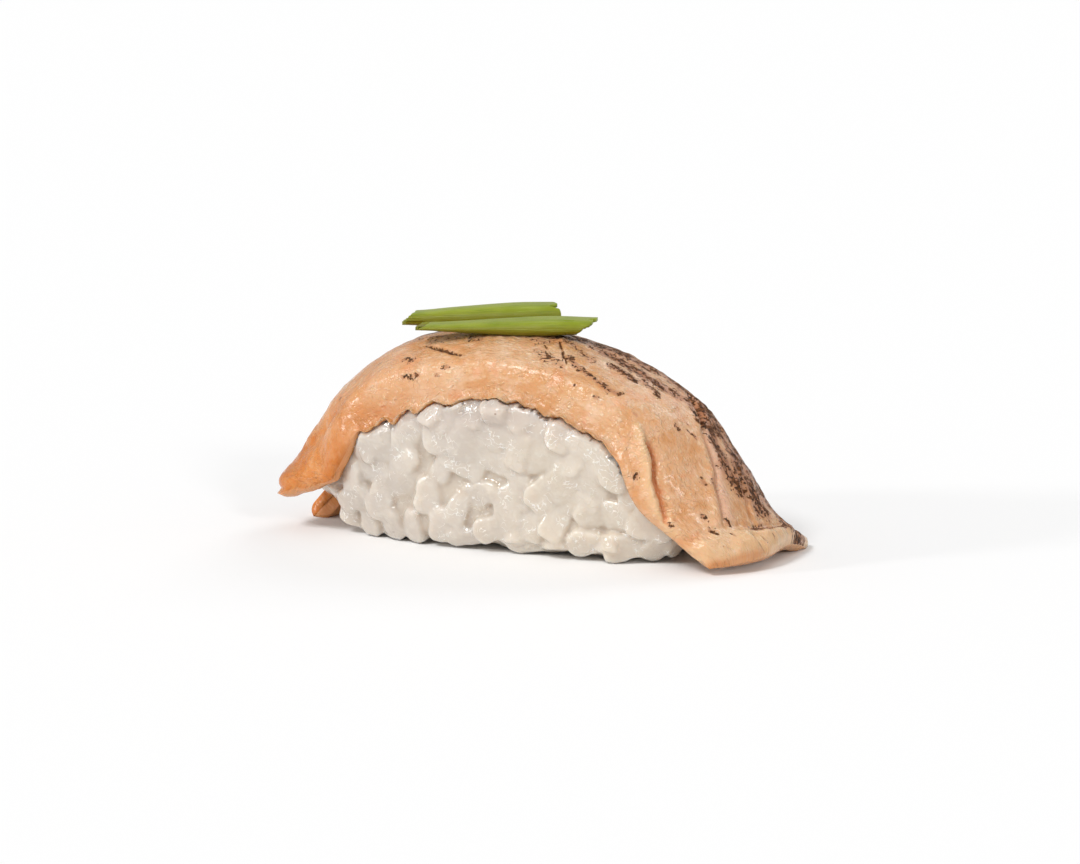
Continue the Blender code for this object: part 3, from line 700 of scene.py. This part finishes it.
def salmonFinish():
    material, shader = newMaterial("searedSalmon")
    place = addNode("TexCoord", {})
    spot = place.outputs["Object"]
    flow = place.outputs["UV"]
    scorched = attribute("scorched")
    clouds = noiseNode(spot, 150.0, 3.0, 0.6)
    mottle = noiseNode(spot, 620.0, 3.0, 0.6)
    fibres = noiseNode(stretched(flow, 22.0, 120.0, 1.0), 1.0, 3.0, 0.6)
    colour = mixed(mapped(clouds, 0.38, 0.62), (0.65, 0.330, 0.140), (0.72, 0.445, 0.255))
    colour = mixed(mapped(mottle, 0.48, 0.68, 0.0, 0.40), colour, (0.80, 0.56, 0.39))
    colour = mixed(mapped(mottle, 0.46, 0.28, 0.0, 0.35), colour, (0.66, 0.290, 0.11))
    colour = mixed(mapped(fibres, 0.52, 0.75, 0.0, 0.50), colour, (0.83, 0.61, 0.44))
    # Pale flecks in the base colour: partly pale fat, partly painted highlights that stand for wet glints
    fatAndGlintFlecks = mapped(noiseNode(stretched(flow, 75.0, 190.0, 1.0), 1.0, 2.0, 0.55), 0.575, 0.66)
    fatAndGlintFlecks = times(fatAndGlintFlecks, mapped(clouds, 0.42, 0.56, 0.15, 1.0))
    colour = mixed(times(fatAndGlintFlecks, 0.60), colour, (0.90, 0.70, 0.48))
    colour = mixed(mapped(noiseNode(spot, 330.0, 2.0), 0.56, 0.68, 0.0, 0.35), colour, (0.72, 0.30, 0.14))
    orange = mixed(mapped(clouds, 0.35, 0.65), (0.56, 0.165, 0.018), (0.655, 0.242, 0.052))
    colour = mixed(times(attribute("warm"), mapped(mottle, 0.25, 0.6, 0.6, 1.0)), colour, orange)
    colour = mixed(times(attribute("fat"), 0.65), colour, (0.78, 0.54, 0.31))
    colour = mixed(times(attribute("pink"), 0.7), colour, (0.72, 0.45, 0.32))
    toast = times(mapped(scorched, 0.2, 1.0), mapped(clouds, 0.3, 0.7, 0.60, 1.0))
    colour = mixed(toast, colour, (0.42, 0.165, 0.070))
    colour = mixed(mapped(attribute("groove"), 0.30, 0.95, 0.0, 0.85), colour, (0.64, 0.20, 0.055))
    colour = mixed(mapped(attribute("inner"), 0.5, 1.0, 0.0, 0.7), colour, (0.70, 0.33, 0.14))

    # Burnt marks: the cracks, broken up finely, the scribbled flakes and the crumbs between them
    grit = noiseNode(spot, 2300.0, 2.0)
    unevenness = times(minus(grit, 0.5), 1.8)
    crack = mapped(plus(attribute("burnt"), unevenness), 0.42, 0.60)
    flakes = useGroup(scribble, {"Vector": stretched(flow, 100.0, 100.0, 1.0), "Amount": scorched})
    flakes = times(flakes, mapped(scorched, 0.05, 0.25))
    pepper = useGroup(specks, {"Vector": spot, "Scale": 300.0, "Size": 0.028})
    crumbSize = mapped(plus(scorched, unevenness), 0.05, 0.80, 0.0, 0.28)
    crumbs = useGroup(specks, {"Vector": spot, "Scale": 1150.0, "Size": crumbSize})
    crumbs = times(crumbs, mapped(scorched, 0.25, 0.45))
    burnt = larger(crack, larger(flakes, larger(pepper, crumbs)))
    colour = mixed(mapped(attribute("burnt"), 0.05, 0.6, 0.0, 0.6), colour, (0.45, 0.19, 0.06))
    char = mixed(mapped(grit, 0.40, 0.62), (0.030, 0.010, 0.002), (0.16, 0.056, 0.013))
    setShader(shader, Base_Color=mixed(times(burnt, 0.95), colour, char))

    # Wetness: fine crinkles and the grain of the flesh, in parts of a millimetre
    film = useGroup(wetFilm, {"Vector": stretched(flow, 0.07, 0.13, 1.0), "Size": 0.85})
    strands = noiseNode(stretched(flow, 90.0, 330.0, 1.0), 1.0, 2.0, 0.6)
    height = plus(plus(film, times(strands, 0.8)), times(plus(burnt, fatAndGlintFlecks), 0.35))
    gloss = mapped(attribute("wet"), 0.2, 0.9, 0.26, 0.14)
    setShader(shader, Normal=bumped(1.0, height, 0.24 * mm), Roughness=plus(gloss, times(burnt, 0.6)))
    setShader(shader, Subsurface_Weight=0.28, Subsurface_Radius=(1.0, 0.45, 0.22), Subsurface_Scale=1.1 * mm)
    setShader(shader, Coat_Weight=times(minus(1.0, burnt), 0.30), Coat_Roughness=0.16)
    setShader(shader, Specular_IOR_Level=0.32)
    return material


salmonSlice = makeSalmon()


# The rice

rice = {
    "lengths": (6.2, 7.8),  # millimetres
    "widthShares": (0.58, 0.72),
    "heightShares": (0.36, 0.42),
    "outlinePower": 3.8,
    "facePower": 6.0,
    "spacing": 2.9,
    "chosenRoom": 3.2,
    "coreInset": 0.85,
    "unevenness": 0.17,
    "tilt": 0.08,
    # How square the block is in section and in plan, to the left and to the right
    "sectionPower": 4.5,
    "planPowers": (2.3, 3.4),
    "shoulder": 7.0,
    # The grains' mesh
    "voxel": 0.23,
    "mostTriangles": 190000,
    "seed": 12,
    # How far the rice stays under the outer face of the slice, in millimetres, and deeper right of 12
    # to 18, where the grooves are
    "tuckedFrom": (12.0, 18.0),
    "tuckedBy": (0.7, 1.1),
    # Grains that show best on the near side: place along and up, length and width in millimetres, and slant
    "shown": (
        (7.0, 14.5, 9.0, 4.6, 12), (3.5, 8.6, 8.4, 5.0, 8), (13.7, 10.9, 8.0, 5.8, -72),
        (17.5, 6.9, 5.2, 4.8, -8), (3.9, 2.6, 7.8, 4.4, 6), (8.7, 5.6, 6.6, 4.4, 62),
        (12.6, 2.8, 5.6, 4.6, 12), (18.3, 2.6, 7.0, 4.2, 10), (-1.7, 3.4, 5.8, 4.2, 14),
        (-5.9, 1.9, 6.4, 3.4, 8), (-3.4, 8.4, 6.4, 4.0, 25), (-22.3, 2.0, 5.4, 3.6, 80),
        (-18.0, 2.4, 5.4, 3.6, 88), (-14.4, 2.8, 5.6, 3.8, 86), (-9.7, 3.4, 5.4, 4.2, 94),
        (-19.6, 6.2, 7.0, 4.4, 75), (-27.0, 4.6, 6.2, 4.2, -58), (14.5, 16.0, 8.2, 4.6, -35),
        (-9.1, 11.8, 5.2, 3.2, 60), (-11.6, 7.6, 6.0, 4.2, 80), (-6.8, 6.0, 5.6, 3.8, 70),
        (17.2, 12.9, 5.6, 4.2, -55), (22.0, 2.9, 6.0, 4.2, 70), (-1.0, 13.2, 6.6, 3.8, -20),
        (-15.0, 12.0, 6.2, 3.8, 40),
    ),
}


def copyOfNode(node, name):
    piece = bpy.data.objects.new(name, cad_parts[node].data.copy())
    bpy.context.scene.collection.objects.link(piece)
    piece.data.materials.clear()
    pick(piece)
    startEdit()
    bpy.ops.mesh.remove_doubles(threshold=1e-6)
    endEdit()
    return piece


def grainShape(widthShare, heightShare, bend, seed):
    # A cooked short grain one unit long: pressed flat, blunt at both ends, nicked at the germ, a little bent
    deselectAll()
    bpy.ops.mesh.primitive_uv_sphere_add(segments=32, ring_count=20, radius=1.0)
    grain = bpy.context.object
    side, along, up = placesOf(grain).T
    outline = rice["outlinePower"]
    face = rice["facePower"]
    flat = (np.abs(side) ** outline + np.abs(along) ** outline) ** (face / outline)
    stretch = (flat + np.abs(up) ** face) ** (-1.0 / face)
    side, along, up = side * stretch, along * stretch, up * stretch
    full = (1.0 - 0.12 * along) * (1.0 - 0.10 * along**2)
    germ = np.exp(-(((along - 0.85) / 0.25) ** 2) - ((side - 0.45) / 0.40) ** 2)
    uneven = noiseAt(np.stack([side, along, 0.0 * up], axis=1), 0.7, seed)
    x = 0.5 * along * (1.0 + 0.08 * uneven)
    y = 0.5 * widthShare * side * full * (1.0 + 0.30 * uneven) - 0.06 * germ + bend * (along**2 - 0.4)
    z = 0.5 * heightShare * up * (1.0 - 0.10 * along) * (1.0 + 0.10 * uneven)
    setPlaces(grain, np.stack([x, y, z], axis=1))
    grain["thickness"] = heightShare
    return grain


def placeGrain(template, spot, facing, level, slant, length, widthScale=1.0):
    # Lays a grain so that its outer face stands at a level over a spot, and keeps it over the floor
    along = lieAlong(facing, slant)
    across = facing.cross(along).normalized()
    turn = Matrix((along, across, facing)).transposed().to_4x4()
    grain = template.copy()
    grain.data = template.data.copy()
    scale = Matrix.Diagonal((length, length * widthScale, length * min(1.0, widthScale), 1.0))
    thickness = template["thickness"] * length * min(1.0, widthScale)
    centre = spot + facing * (level - thickness / 2.0)
    grain.matrix_world = Matrix.Translation(centre) @ turn @ scale
    bpy.context.scene.collection.objects.link(grain)
    points = placesOf(grain)
    matrix = np.array(grain.matrix_world)
    lowest = (points @ matrix[2, :3]).min() + matrix[2, 3]
    if lowest < 0.0:
        grain.matrix_world = Matrix.Translation((0.0, 0.0, -lowest)) @ grain.matrix_world
    return grain


def lieAlong(normal, slant):
    # The direction on a surface that slants up from the level by an angle
    level = Vector((0.0, 0.0, 1.0)).cross(normal)
    if level.length < 0.15:
        level = Vector((1.0, 0.0, 0.0))
    level.normalize()
    uphill = normal.cross(level).normalized()
    return (level * math.cos(slant) + uphill * math.sin(slant)).normalized()


def filledOut(places):
    # Fills out the block's round corners towards a rounded box, so that it comes flush with the slice's edges
    middle = (places[:, 0].max() + places[:, 0].min()) / 2.0
    reach = (places[:, 0].max() - places[:, 0].min()) / 2.0
    stations = np.linspace(middle - reach, middle + reach, 49)
    near = [np.abs(places[:, 0] - station) < reach / 30.0 for station in stations]
    tops = np.interp(places[:, 0], stations, [places[some, 2].max() for some in near])
    depths = np.interp(places[:, 0], stations, [np.abs(places[some, 1]).max() for some in near])
    shoulder = rice["shoulder"] * mm
    aside = np.clip(np.abs(places[:, 1]) / np.maximum(depths, 3 * mm), 0.0, 1.0)
    up = np.clip((places[:, 2] - shoulder) / np.maximum(tops - shoulder, 3 * mm), 0.0, 1.0)
    power = rice["sectionPower"]
    growth = np.hypot(aside, up) / np.maximum((aside**power + up**power) ** (1.0 / power), 1e-6)
    growth = np.maximum(growth, 1.0)
    places[:, 1] *= growth
    places[:, 2] = np.where(up > 0.0, shoulder + (places[:, 2] - shoulder) * growth, places[:, 2])
    along = (places[:, 0] - middle) / reach
    aside = places[:, 1] / np.abs(places[:, 1]).max()
    power = np.where(along > 0.0, rice["planPowers"][1], rice["planPowers"][0])
    squared = (np.abs(along) ** power + np.abs(aside) ** power) ** (1.0 / power)
    growth = np.hypot(along, aside) / np.maximum(squared, 1e-6)
    places[:, :2] = np.stack([middle + (places[:, 0] - middle) * growth, places[:, 1] * growth], axis=1)
    return places


def heightsOver(places, coreTree):
    # Heights over the core, in millimetres
    heights = np.zeros(len(places))
    for number, place in enumerate(places):
        nearest, normal, _, _ = coreTree.find_nearest(Vector(place))
        heights[number] = (Vector(place) - nearest).dot(normal) / mm
    return heights


def tuckedUnder(places, sliceTree):
    # Presses whatever stands outside the slice back in under its outer face
    for number, place in enumerate(places):
        spot = Vector(place)
        axis = Vector((spot.x, 0.0, min(spot.z, 19.0 * mm)))
        inward = (axis - spot).normalized()
        depth = np.interp(spot.x / mm, rice["tuckedFrom"], rice["tuckedBy"]) * mm
        hit, normal, _, _ = sliceTree.ray_cast(spot, inward, (axis - spot).length)
        if hit is not None and normal.dot(inward) < 0.0:
            places[number] = hit + inward * depth
            continue
        nearest, normal, _, _ = sliceTree.find_nearest(spot, 0.5 * mm)
        if nearest is not None and normal.z > 0.1 and (spot - nearest).dot(normal) > -0.5 * depth:
            places[number] = nearest - normal * depth
    return places


def weigh(piece, name, weights):
    # A vertex group with weights in tenths
    group = piece.vertex_groups.new(name=name)
    levels = np.ceil(np.clip(weights, 0.0, 1.0) * 10.0).astype(int)
    for level in range(1, 11):
        group.add(np.where(levels == level)[0].tolist(), level / 10.0, "REPLACE")


def covered(place, sliceTree):
    # Whether the slice lies close over a point
    hit, _, _, distance = sliceTree.ray_cast(place, Vector((0.0, 0.0, 1.0)))
    return 1.0 if hit is not None and distance < 4.0 * mm and place.z > 8.0 * mm else 0.0


def makeRice():
    draw = random.Random(rice["seed"])
    block = copyOfNode("rice_block", "riceBlock")
    applyModifier(block, "REMESH", mode="VOXEL", voxel_size=0.8 * mm)
    applyModifier(block, "SMOOTH", factor=0.6, iterations=12)
    setPlaces(block, filledOut(placesOf(block)))
    applyModifier(block, "REMESH", mode="VOXEL", voxel_size=0.8 * mm)
    applyModifier(block, "SMOOTH", factor=0.5, iterations=4)
    applyModifier(block, "DISPLACE", strength=-rice["coreInset"] * mm, mid_level=0.0)
    places = placesOf(block)
    places[:, 2] = np.maximum(places[:, 2], 0.0)
    setPlaces(block, places)
    coreTree = treeOf(block)
    sliceTree = treeOf(salmonSlice)
    templates = []
    for number in range(9):
        width = draw.uniform(*rice["widthShares"])
        height = draw.uniform(*rice["heightShares"])
        templates.append(grainShape(width, height, draw.uniform(-0.05, 0.05), number + 20.0))
    meanWidth = sum(rice["widthShares"]) / 2.0

    def faceOf(normal):
        return (normal + Vector([draw.gauss(0.0, rice["tilt"]) for _ in range(3)])).normalized()

    # Listed grains first, then others spread over the rest of the block
    taken = []
    grains = []
    for x, z, length, width, slant in rice["shown"]:
        hit, normal, _, _ = coreTree.ray_cast(Vector((x * mm, -0.05, z * mm)), Vector((0.0, 1.0, 0.0)))
        if hit is None:
            continue
        level = (rice["coreInset"] + draw.uniform(-0.5, 1.0) * rice["unevenness"]) * mm
        scale = width / length / meanWidth
        template = draw.choice(templates)
        slant = math.radians(slant)
        grains.append(placeGrain(template, hit, faceOf(normal), level, slant, length * mm, scale))
        taken.append((hit, rice["chosenRoom"] * mm))
    chosen = len(grains)
    faces = list(block.data.polygons)
    areas = [face.area for face in faces]
    for _ in range(9000):
        face = draw.choices(faces, weights=areas)[0]
        spot = face.center.copy()
        normal = face.normal.copy()
        slant = draw.gauss(0.7, 0.9)
        length = draw.uniform(*rice["lengths"]) * mm
        level = (rice["coreInset"] + draw.gauss(0.0, rice["unevenness"])) * mm
        template = draw.choice(templates)
        if normal.z < -0.75 and spot.z < 1.0 * mm:
            continue
        if any((spot - other).length < room for other, room in taken):
            continue
        grains.append(placeGrain(template, spot, faceOf(normal), level, slant, length))
        taken.append((spot, rice["spacing"] * mm))
    for template in templates:
        bpy.data.objects.remove(template)
    print(f"rice: {chosen} chosen grains and {len(grains) - chosen} others")

    joinInto(block, grains)
    bpy.ops.object.transform_apply(location=True, rotation=True, scale=True)
    applyModifier(block, "REMESH", mode="VOXEL", voxel_size=rice["voxel"] * mm)
    places = placesOf(block)
    heights = heightsOver(places, coreTree)
    setPlaces(block, tuckedUnder(places, sliceTree))
    # Painted shade: how deep each place lies between the grains, for darker beige in the crevices
    keepMask(block, "deep", 1.0 - heights / rice["coreInset"])
    mushy = 0.9 * smoothStep(8.0, -12.0, places[:, 0] / mm) + smoothStep(12.0, 19.0, places[:, 2] / mm)
    weigh(block, "mushy", mushy)
    applyModifier(block, "SMOOTH", factor=0.5, iterations=16, vertex_group="mushy")
    applyModifier(block, "SMOOTH", factor=0.5, iterations=2)
    if triangleCount(block) > rice["mostTriangles"]:
        hidden = np.array([covered(Vector(place), sliceTree) for place in places])
        hidden *= np.abs(places[:, 1]) < 13.5 * mm
        weigh(block, "hidden", np.maximum(hidden, smoothStep(0.3, 0.1, places[:, 2] / mm)))
        ratio = rice["mostTriangles"] / triangleCount(block)
        applyModifier(block, "DECIMATE", ratio=ratio, vertex_group="hidden", vertex_group_factor=4.0)
        applyModifier(block, "DECIMATE", ratio=min(1.0, rice["mostTriangles"] / triangleCount(block)))
    places = tuckedUnder(placesOf(block), sliceTree)
    places[:, 2] = np.maximum(places[:, 2], 0.0)
    setPlaces(block, places)
    block.data.materials.clear()
    block.data.materials.append(riceFinish())
    finishPiece(block, "rice_block")


def riceFinish():
    material, shader = newMaterial("cookedRice")
    spot = addNode("TexCoord", {}).outputs["Object"]
    along, _, up = addNode("SeparateXYZ", {0: spot}).outputs
    fine = noiseNode(spot, 900.0, 2.0)
    colour = mixed(mapped(along, -10 * mm, 12 * mm), (0.585, 0.520, 0.455), (0.640, 0.560, 0.462))
    colour = mixed(mapped(noiseNode(spot, 130.0, 2.0), 0.40, 0.65, 0.0, 0.5), colour, (0.70, 0.625, 0.54))
    colour = mixed(mapped(fine, 0.45, 0.75, 0.0, 0.30), colour, (0.77, 0.72, 0.63))
    # Painted shade: darker towards the top, where the slice overhangs the rice
    colour = mixed(mapped(up, 15 * mm, 21 * mm, 0.0, 0.6), colour, (0.60, 0.51, 0.455))
    # Painted highlights: pale squiggly glints in patches, put into the base colour; they also raise the
    # relief a little
    patches = mapped(noiseNode(spot, 420.0, 1.0), 0.50, 0.60)
    glints = times(contours(spot, 1150.0, 1.0, 0.0, 0.035, 0.75), patches)
    colour = mixed(glints, colour, (0.94, 0.92, 0.88))
    # Painted shade: darker beige in the crevices between the grains
    colour = mixed(mapped(attribute("deep"), 0.25, 0.85, 0.0, 0.48), colour, (0.60, 0.49, 0.37))
    pepper = useGroup(specks, {"Vector": spot, "Scale": 120.0, "Size": 0.030})
    setShader(shader, Base_Color=mixed(times(pepper, 0.85), colour, (0.16, 0.08, 0.035)))
    film = useGroup(wetFilm, {"Vector": spot, "Size": 1.3})
    setShader(shader, Normal=bumped(0.6, plus(film, times(glints, 0.5)), 0.24 * mm))
    setShader(shader, Roughness=mapped(fine, 0.3, 0.7, 0.10, 0.20), Coat_Weight=0.5, Coat_Roughness=0.08)
    setShader(shader, Subsurface_Weight=0.9, Subsurface_Radius=(1.0, 0.85, 0.70), Subsurface_Scale=3.0 * mm)
    return material


makeRice()


# The spring onion

onion = {
    "wall": 0.50,  # millimetres
    "around": 90,
    "rings": 124,
    "crease": 0.12,
    "creaseWidth": 0.5,
    "wobble": 0.05,
    "ribs": 24,
    "ribDepth": 0.012,
    # Each leaf: its middle line's ends, its widths and heights along it, and how far its cuts lean from
    # bottom to top and from the near to the far side at each end. A notch in its end has a place round it,
    # a depth and a half width
    "leaves": (
        {
            "name": "scallionFront",
            "node": "scallion_front",
            "start": (-14.3, -7.5, 31.05),
            "end": (7.6, 0.6, 31.35),
            "roll": 0.08,
            "seed": 3,
            "widths": (3.8, 4.3, 4.9, 5.5, 5.4),
            "heights": (0.9, 1.5, 2.2, 2.8, 2.4),
            "leans": (1.8, 2.9),
            "biases": (0.8, 1.2),
            "notches": ((1.75, 1.1, 0.16), (0.6, 0.5, 0.2)),
            "slit": (0.865, 2.2, 0.9, 0.24),
        },
        {
            "name": "scallionBack",
            "node": "scallion_back",
            "start": (-19.4, -1.7, 31.25),
            "end": (0.6, 6.2, 31.8),
            "roll": 0.04,
            "seed": 8,
            "widths": (3.8, 4.2, 4.6, 4.8, 4.8),
            "heights": (0.9, 1.8, 2.4, 2.9, 3.0),
            "leans": (2.0, -0.8),
            "biases": (0.6, -1.2),
            "notches": ((2.2, 1.2, 0.18), (0.9, 0.7, 0.2)),
            "slit": None,
        },
    ),
}


def makeLeaf(leaf, finish):
    # A grid rolled up into a pressed-flat tube with slanting ends, its seam merged and its wall thickened
    deselectAll()
    bpy.ops.mesh.primitive_grid_add(x_subdivisions=onion["around"], y_subdivisions=onion["rings"], size=2.0)
    tube = bpy.context.object
    tube.name = leaf["name"]
    tube.data.name = leaf["name"]
    grid = placesOf(tube)
    turn = (grid[:, 0] + 1.0) * math.pi
    share = (grid[:, 1] + 1.0) / 2.0
    width = curveAt(leaf["widths"], share)
    thick = curveAt(leaf["heights"], share)
    crease = 1.0 - onion["crease"] * np.exp(-(((turn - math.pi / 2.0) / onion["creaseWidth"]) ** 2))
    wobble = 1.0 + onion["wobble"] * np.sin(2.0 * np.pi * share + 2.0 * turn + leaf["seed"])
    ribs = onion["ribDepth"] * np.cos(onion["ribs"] * turn)
    side = (width / 2.0 + ribs) * np.cos(turn)
    up = (thick / 2.0 + ribs) * np.sin(turn) * crease * wobble
    start = Vector(leaf["start"])
    end = Vector(leaf["end"])
    along = np.array((end - start).normalized())
    sideways = np.array([-along[1], along[0], 0.0]) / math.hypot(along[0], along[1])
    rolled = sideways * math.cos(leaf["roll"]) + np.array([0.0, 0.0, math.sin(leaf["roll"])])
    upward = np.cross(along, rolled)
    length = (end - start).length
    lengthwise = length * share
    lengthwise += np.interp(share, (0.0, 1.0), leaf["leans"]) * up / thick
    lengthwise += np.interp(share, (0.0, 1.0), leaf["biases"]) * side / width
    lengthwise += 0.07 * np.sin(7.0 * turn + leaf["seed"]) * np.abs(2.0 * share - 1.0) ** 8
    for place, depth, reach in leaf["notches"]:
        lengthwise -= depth * np.exp(-(((turn - place) / reach) ** 2)) * share**12
    places = np.array(start) + lengthwise[:, None] * along + side[:, None] * rolled + up[:, None] * upward
    setPlaces(tube, places * mm)
    # Painted shade: a mask of the leaf's lower side, which the shader colours darker olive
    keepMask(tube, "low", 0.5 - 0.5 * np.sin(turn + 0.5))
    layFlow(tube, np.stack([length * share, turn * 2.4], axis=1))
    pick(tube)
    if leaf["slit"]:
        place, middle, halfLength, halfWidth = leaf["slit"]
        inSlit = ((share - place) * length / halfLength) ** 2 + ((turn - middle) * 2.4 / halfWidth) ** 2 < 1.0
        startEdit()
        bpy.ops.mesh.select_mode(type="FACE")
        bpy.ops.mesh.select_all(action="DESELECT")
        endEdit()
        for face in tube.data.polygons:
            face.select = all(inSlit[number] for number in face.vertices)
        bpy.ops.object.mode_set(mode="EDIT")
        bpy.ops.mesh.delete(type="FACE")
        endEdit()
    startEdit()
    bpy.ops.mesh.remove_doubles(threshold=1e-6)
    bpy.ops.mesh.normals_make_consistent(inside=False)
    endEdit()
    applyModifier(tube, "SOLIDIFY", thickness=onion["wall"] * mm, offset=-1.0)
    tube.data.materials.append(finish)
    finishPiece(tube, leaf["node"])
    return tube


def onionFinish():
    material, shader = newMaterial("springOnion")
    place = addNode("TexCoord", {})
    spot = place.outputs["Object"]
    veins = noiseNode(stretched(place.outputs["UV"], 14.0, 260.0, 1.0), 1.0, 3.0, 0.6)
    clouds = mapped(noiseNode(spot, 260.0, 2.0), 0.35, 0.65)
    colour = mixed(clouds, (0.240, 0.295, 0.014), (0.290, 0.340, 0.030))
    # Painted shade: darker olive on the lower side of each leaf
    colour = mixed(mapped(attribute("low"), 0.30, 0.80), colour, (0.190, 0.180, 0.003))
    colour = mixed(mapped(veins, 0.52, 0.75, 0.0, 0.6), colour, (0.42, 0.48, 0.11))
    colour = mixed(mapped(veins, 0.47, 0.28, 0.0, 0.6), colour, (0.11, 0.165, 0.004))
    height = plus(times(useGroup(wetFilm, {"Vector": spot, "Size": 0.4}), 0.6), veins)
    setShader(shader, Base_Color=colour, Normal=bumped(0.6, height, 0.10 * mm))
    setShader(shader, Roughness=0.30, Specular_IOR_Level=0.35, Subsurface_Weight=0.25)
    setShader(shader, Subsurface_Radius=(0.6, 1.0, 0.15), Subsurface_Scale=1.0 * mm)
    return material


leafFinish = onionFinish()
for leaf in onion["leaves"]:
    makeLeaf(leaf, leafFinish)


# Floor, light and camera

studio = {
    "floor": 0.93,
    "skyStrength": 0.50,
    # Broad soft lamps far away: degrees round from the front and up, strength, and width in degrees
    "lamps": (
        {"name": "key", "azimuth": -20.0, "elevation": 46.0, "strength": 1.60, "width": 16.0},
        {"name": "frontFill", "azimuth": -50.0, "elevation": 18.0, "strength": 0.55, "width": 8.0},
        {"name": "rightFill", "azimuth": 55.0, "elevation": 24.0, "strength": 0.50, "width": 9.0},
        {"name": "backLight", "azimuth": 165.0, "elevation": 40.0, "strength": 0.42, "width": 24.0},
    ),
}

view = {
    "azimuth": 25.0,
    "elevation": 10.0,
    "distance": 0.450,
    "target": (0.0005, 0.0, 0.0157),
    "lens": 105.0,
}


def towards(azimuth, elevation):
    azimuth = math.radians(azimuth)
    elevation = math.radians(elevation)
    flat = math.cos(elevation)
    return Vector((math.sin(azimuth) * flat, -math.cos(azimuth) * flat, math.sin(elevation)))


def makeStage():
    deselectAll()
    bpy.ops.mesh.primitive_plane_add(size=10.0, location=(0.0, 0.0, -0.02 * mm))
    floor = bpy.context.object
    floor.name = "floor"
    material, shader = newMaterial("paleFloor")
    setShader(shader, Base_Color=(studio["floor"],) * 3, Roughness=1.0, Specular_IOR_Level=0.0)
    floor.data.materials.append(material)
    world = bpy.data.worlds.new("studioSky")
    world.use_nodes = True
    sky = world.node_tree.nodes["Background"].inputs
    sky["Color"].default_value = (1.0, 1.0, 1.0, 1.0)
    sky["Strength"].default_value = studio["skyStrength"]
    bpy.context.scene.world = world
    for lamp in studio["lamps"]:
        direction = towards(lamp["azimuth"], lamp["elevation"])
        bpy.ops.object.light_add(type="SUN", location=direction)
        sun = bpy.context.object
        sun.name = lamp["name"]
        sun.data.energy = lamp["strength"]
        sun.data.angle = math.radians(lamp["width"])
        sun.rotation_euler = direction.to_track_quat("Z", "Y").to_euler()


def makeCamera():
    back = towards(view["azimuth"], view["elevation"])
    bpy.ops.object.camera_add(location=Vector(view["target"]) + back * view["distance"])
    camera = bpy.context.object
    camera.name = "photoCamera"
    camera.rotation_euler = back.to_track_quat("Z", "Y").to_euler()
    camera.data.lens = view["lens"]
    camera.data.sensor_width = 36.0
    camera.data.clip_start = 0.01
    camera.data.clip_end = 50.0
    bpy.context.scene.camera = camera


makeStage()
makeCamera()
bpy.context.scene.view_settings.view_transform = "Standard"
print("stage and camera: done")
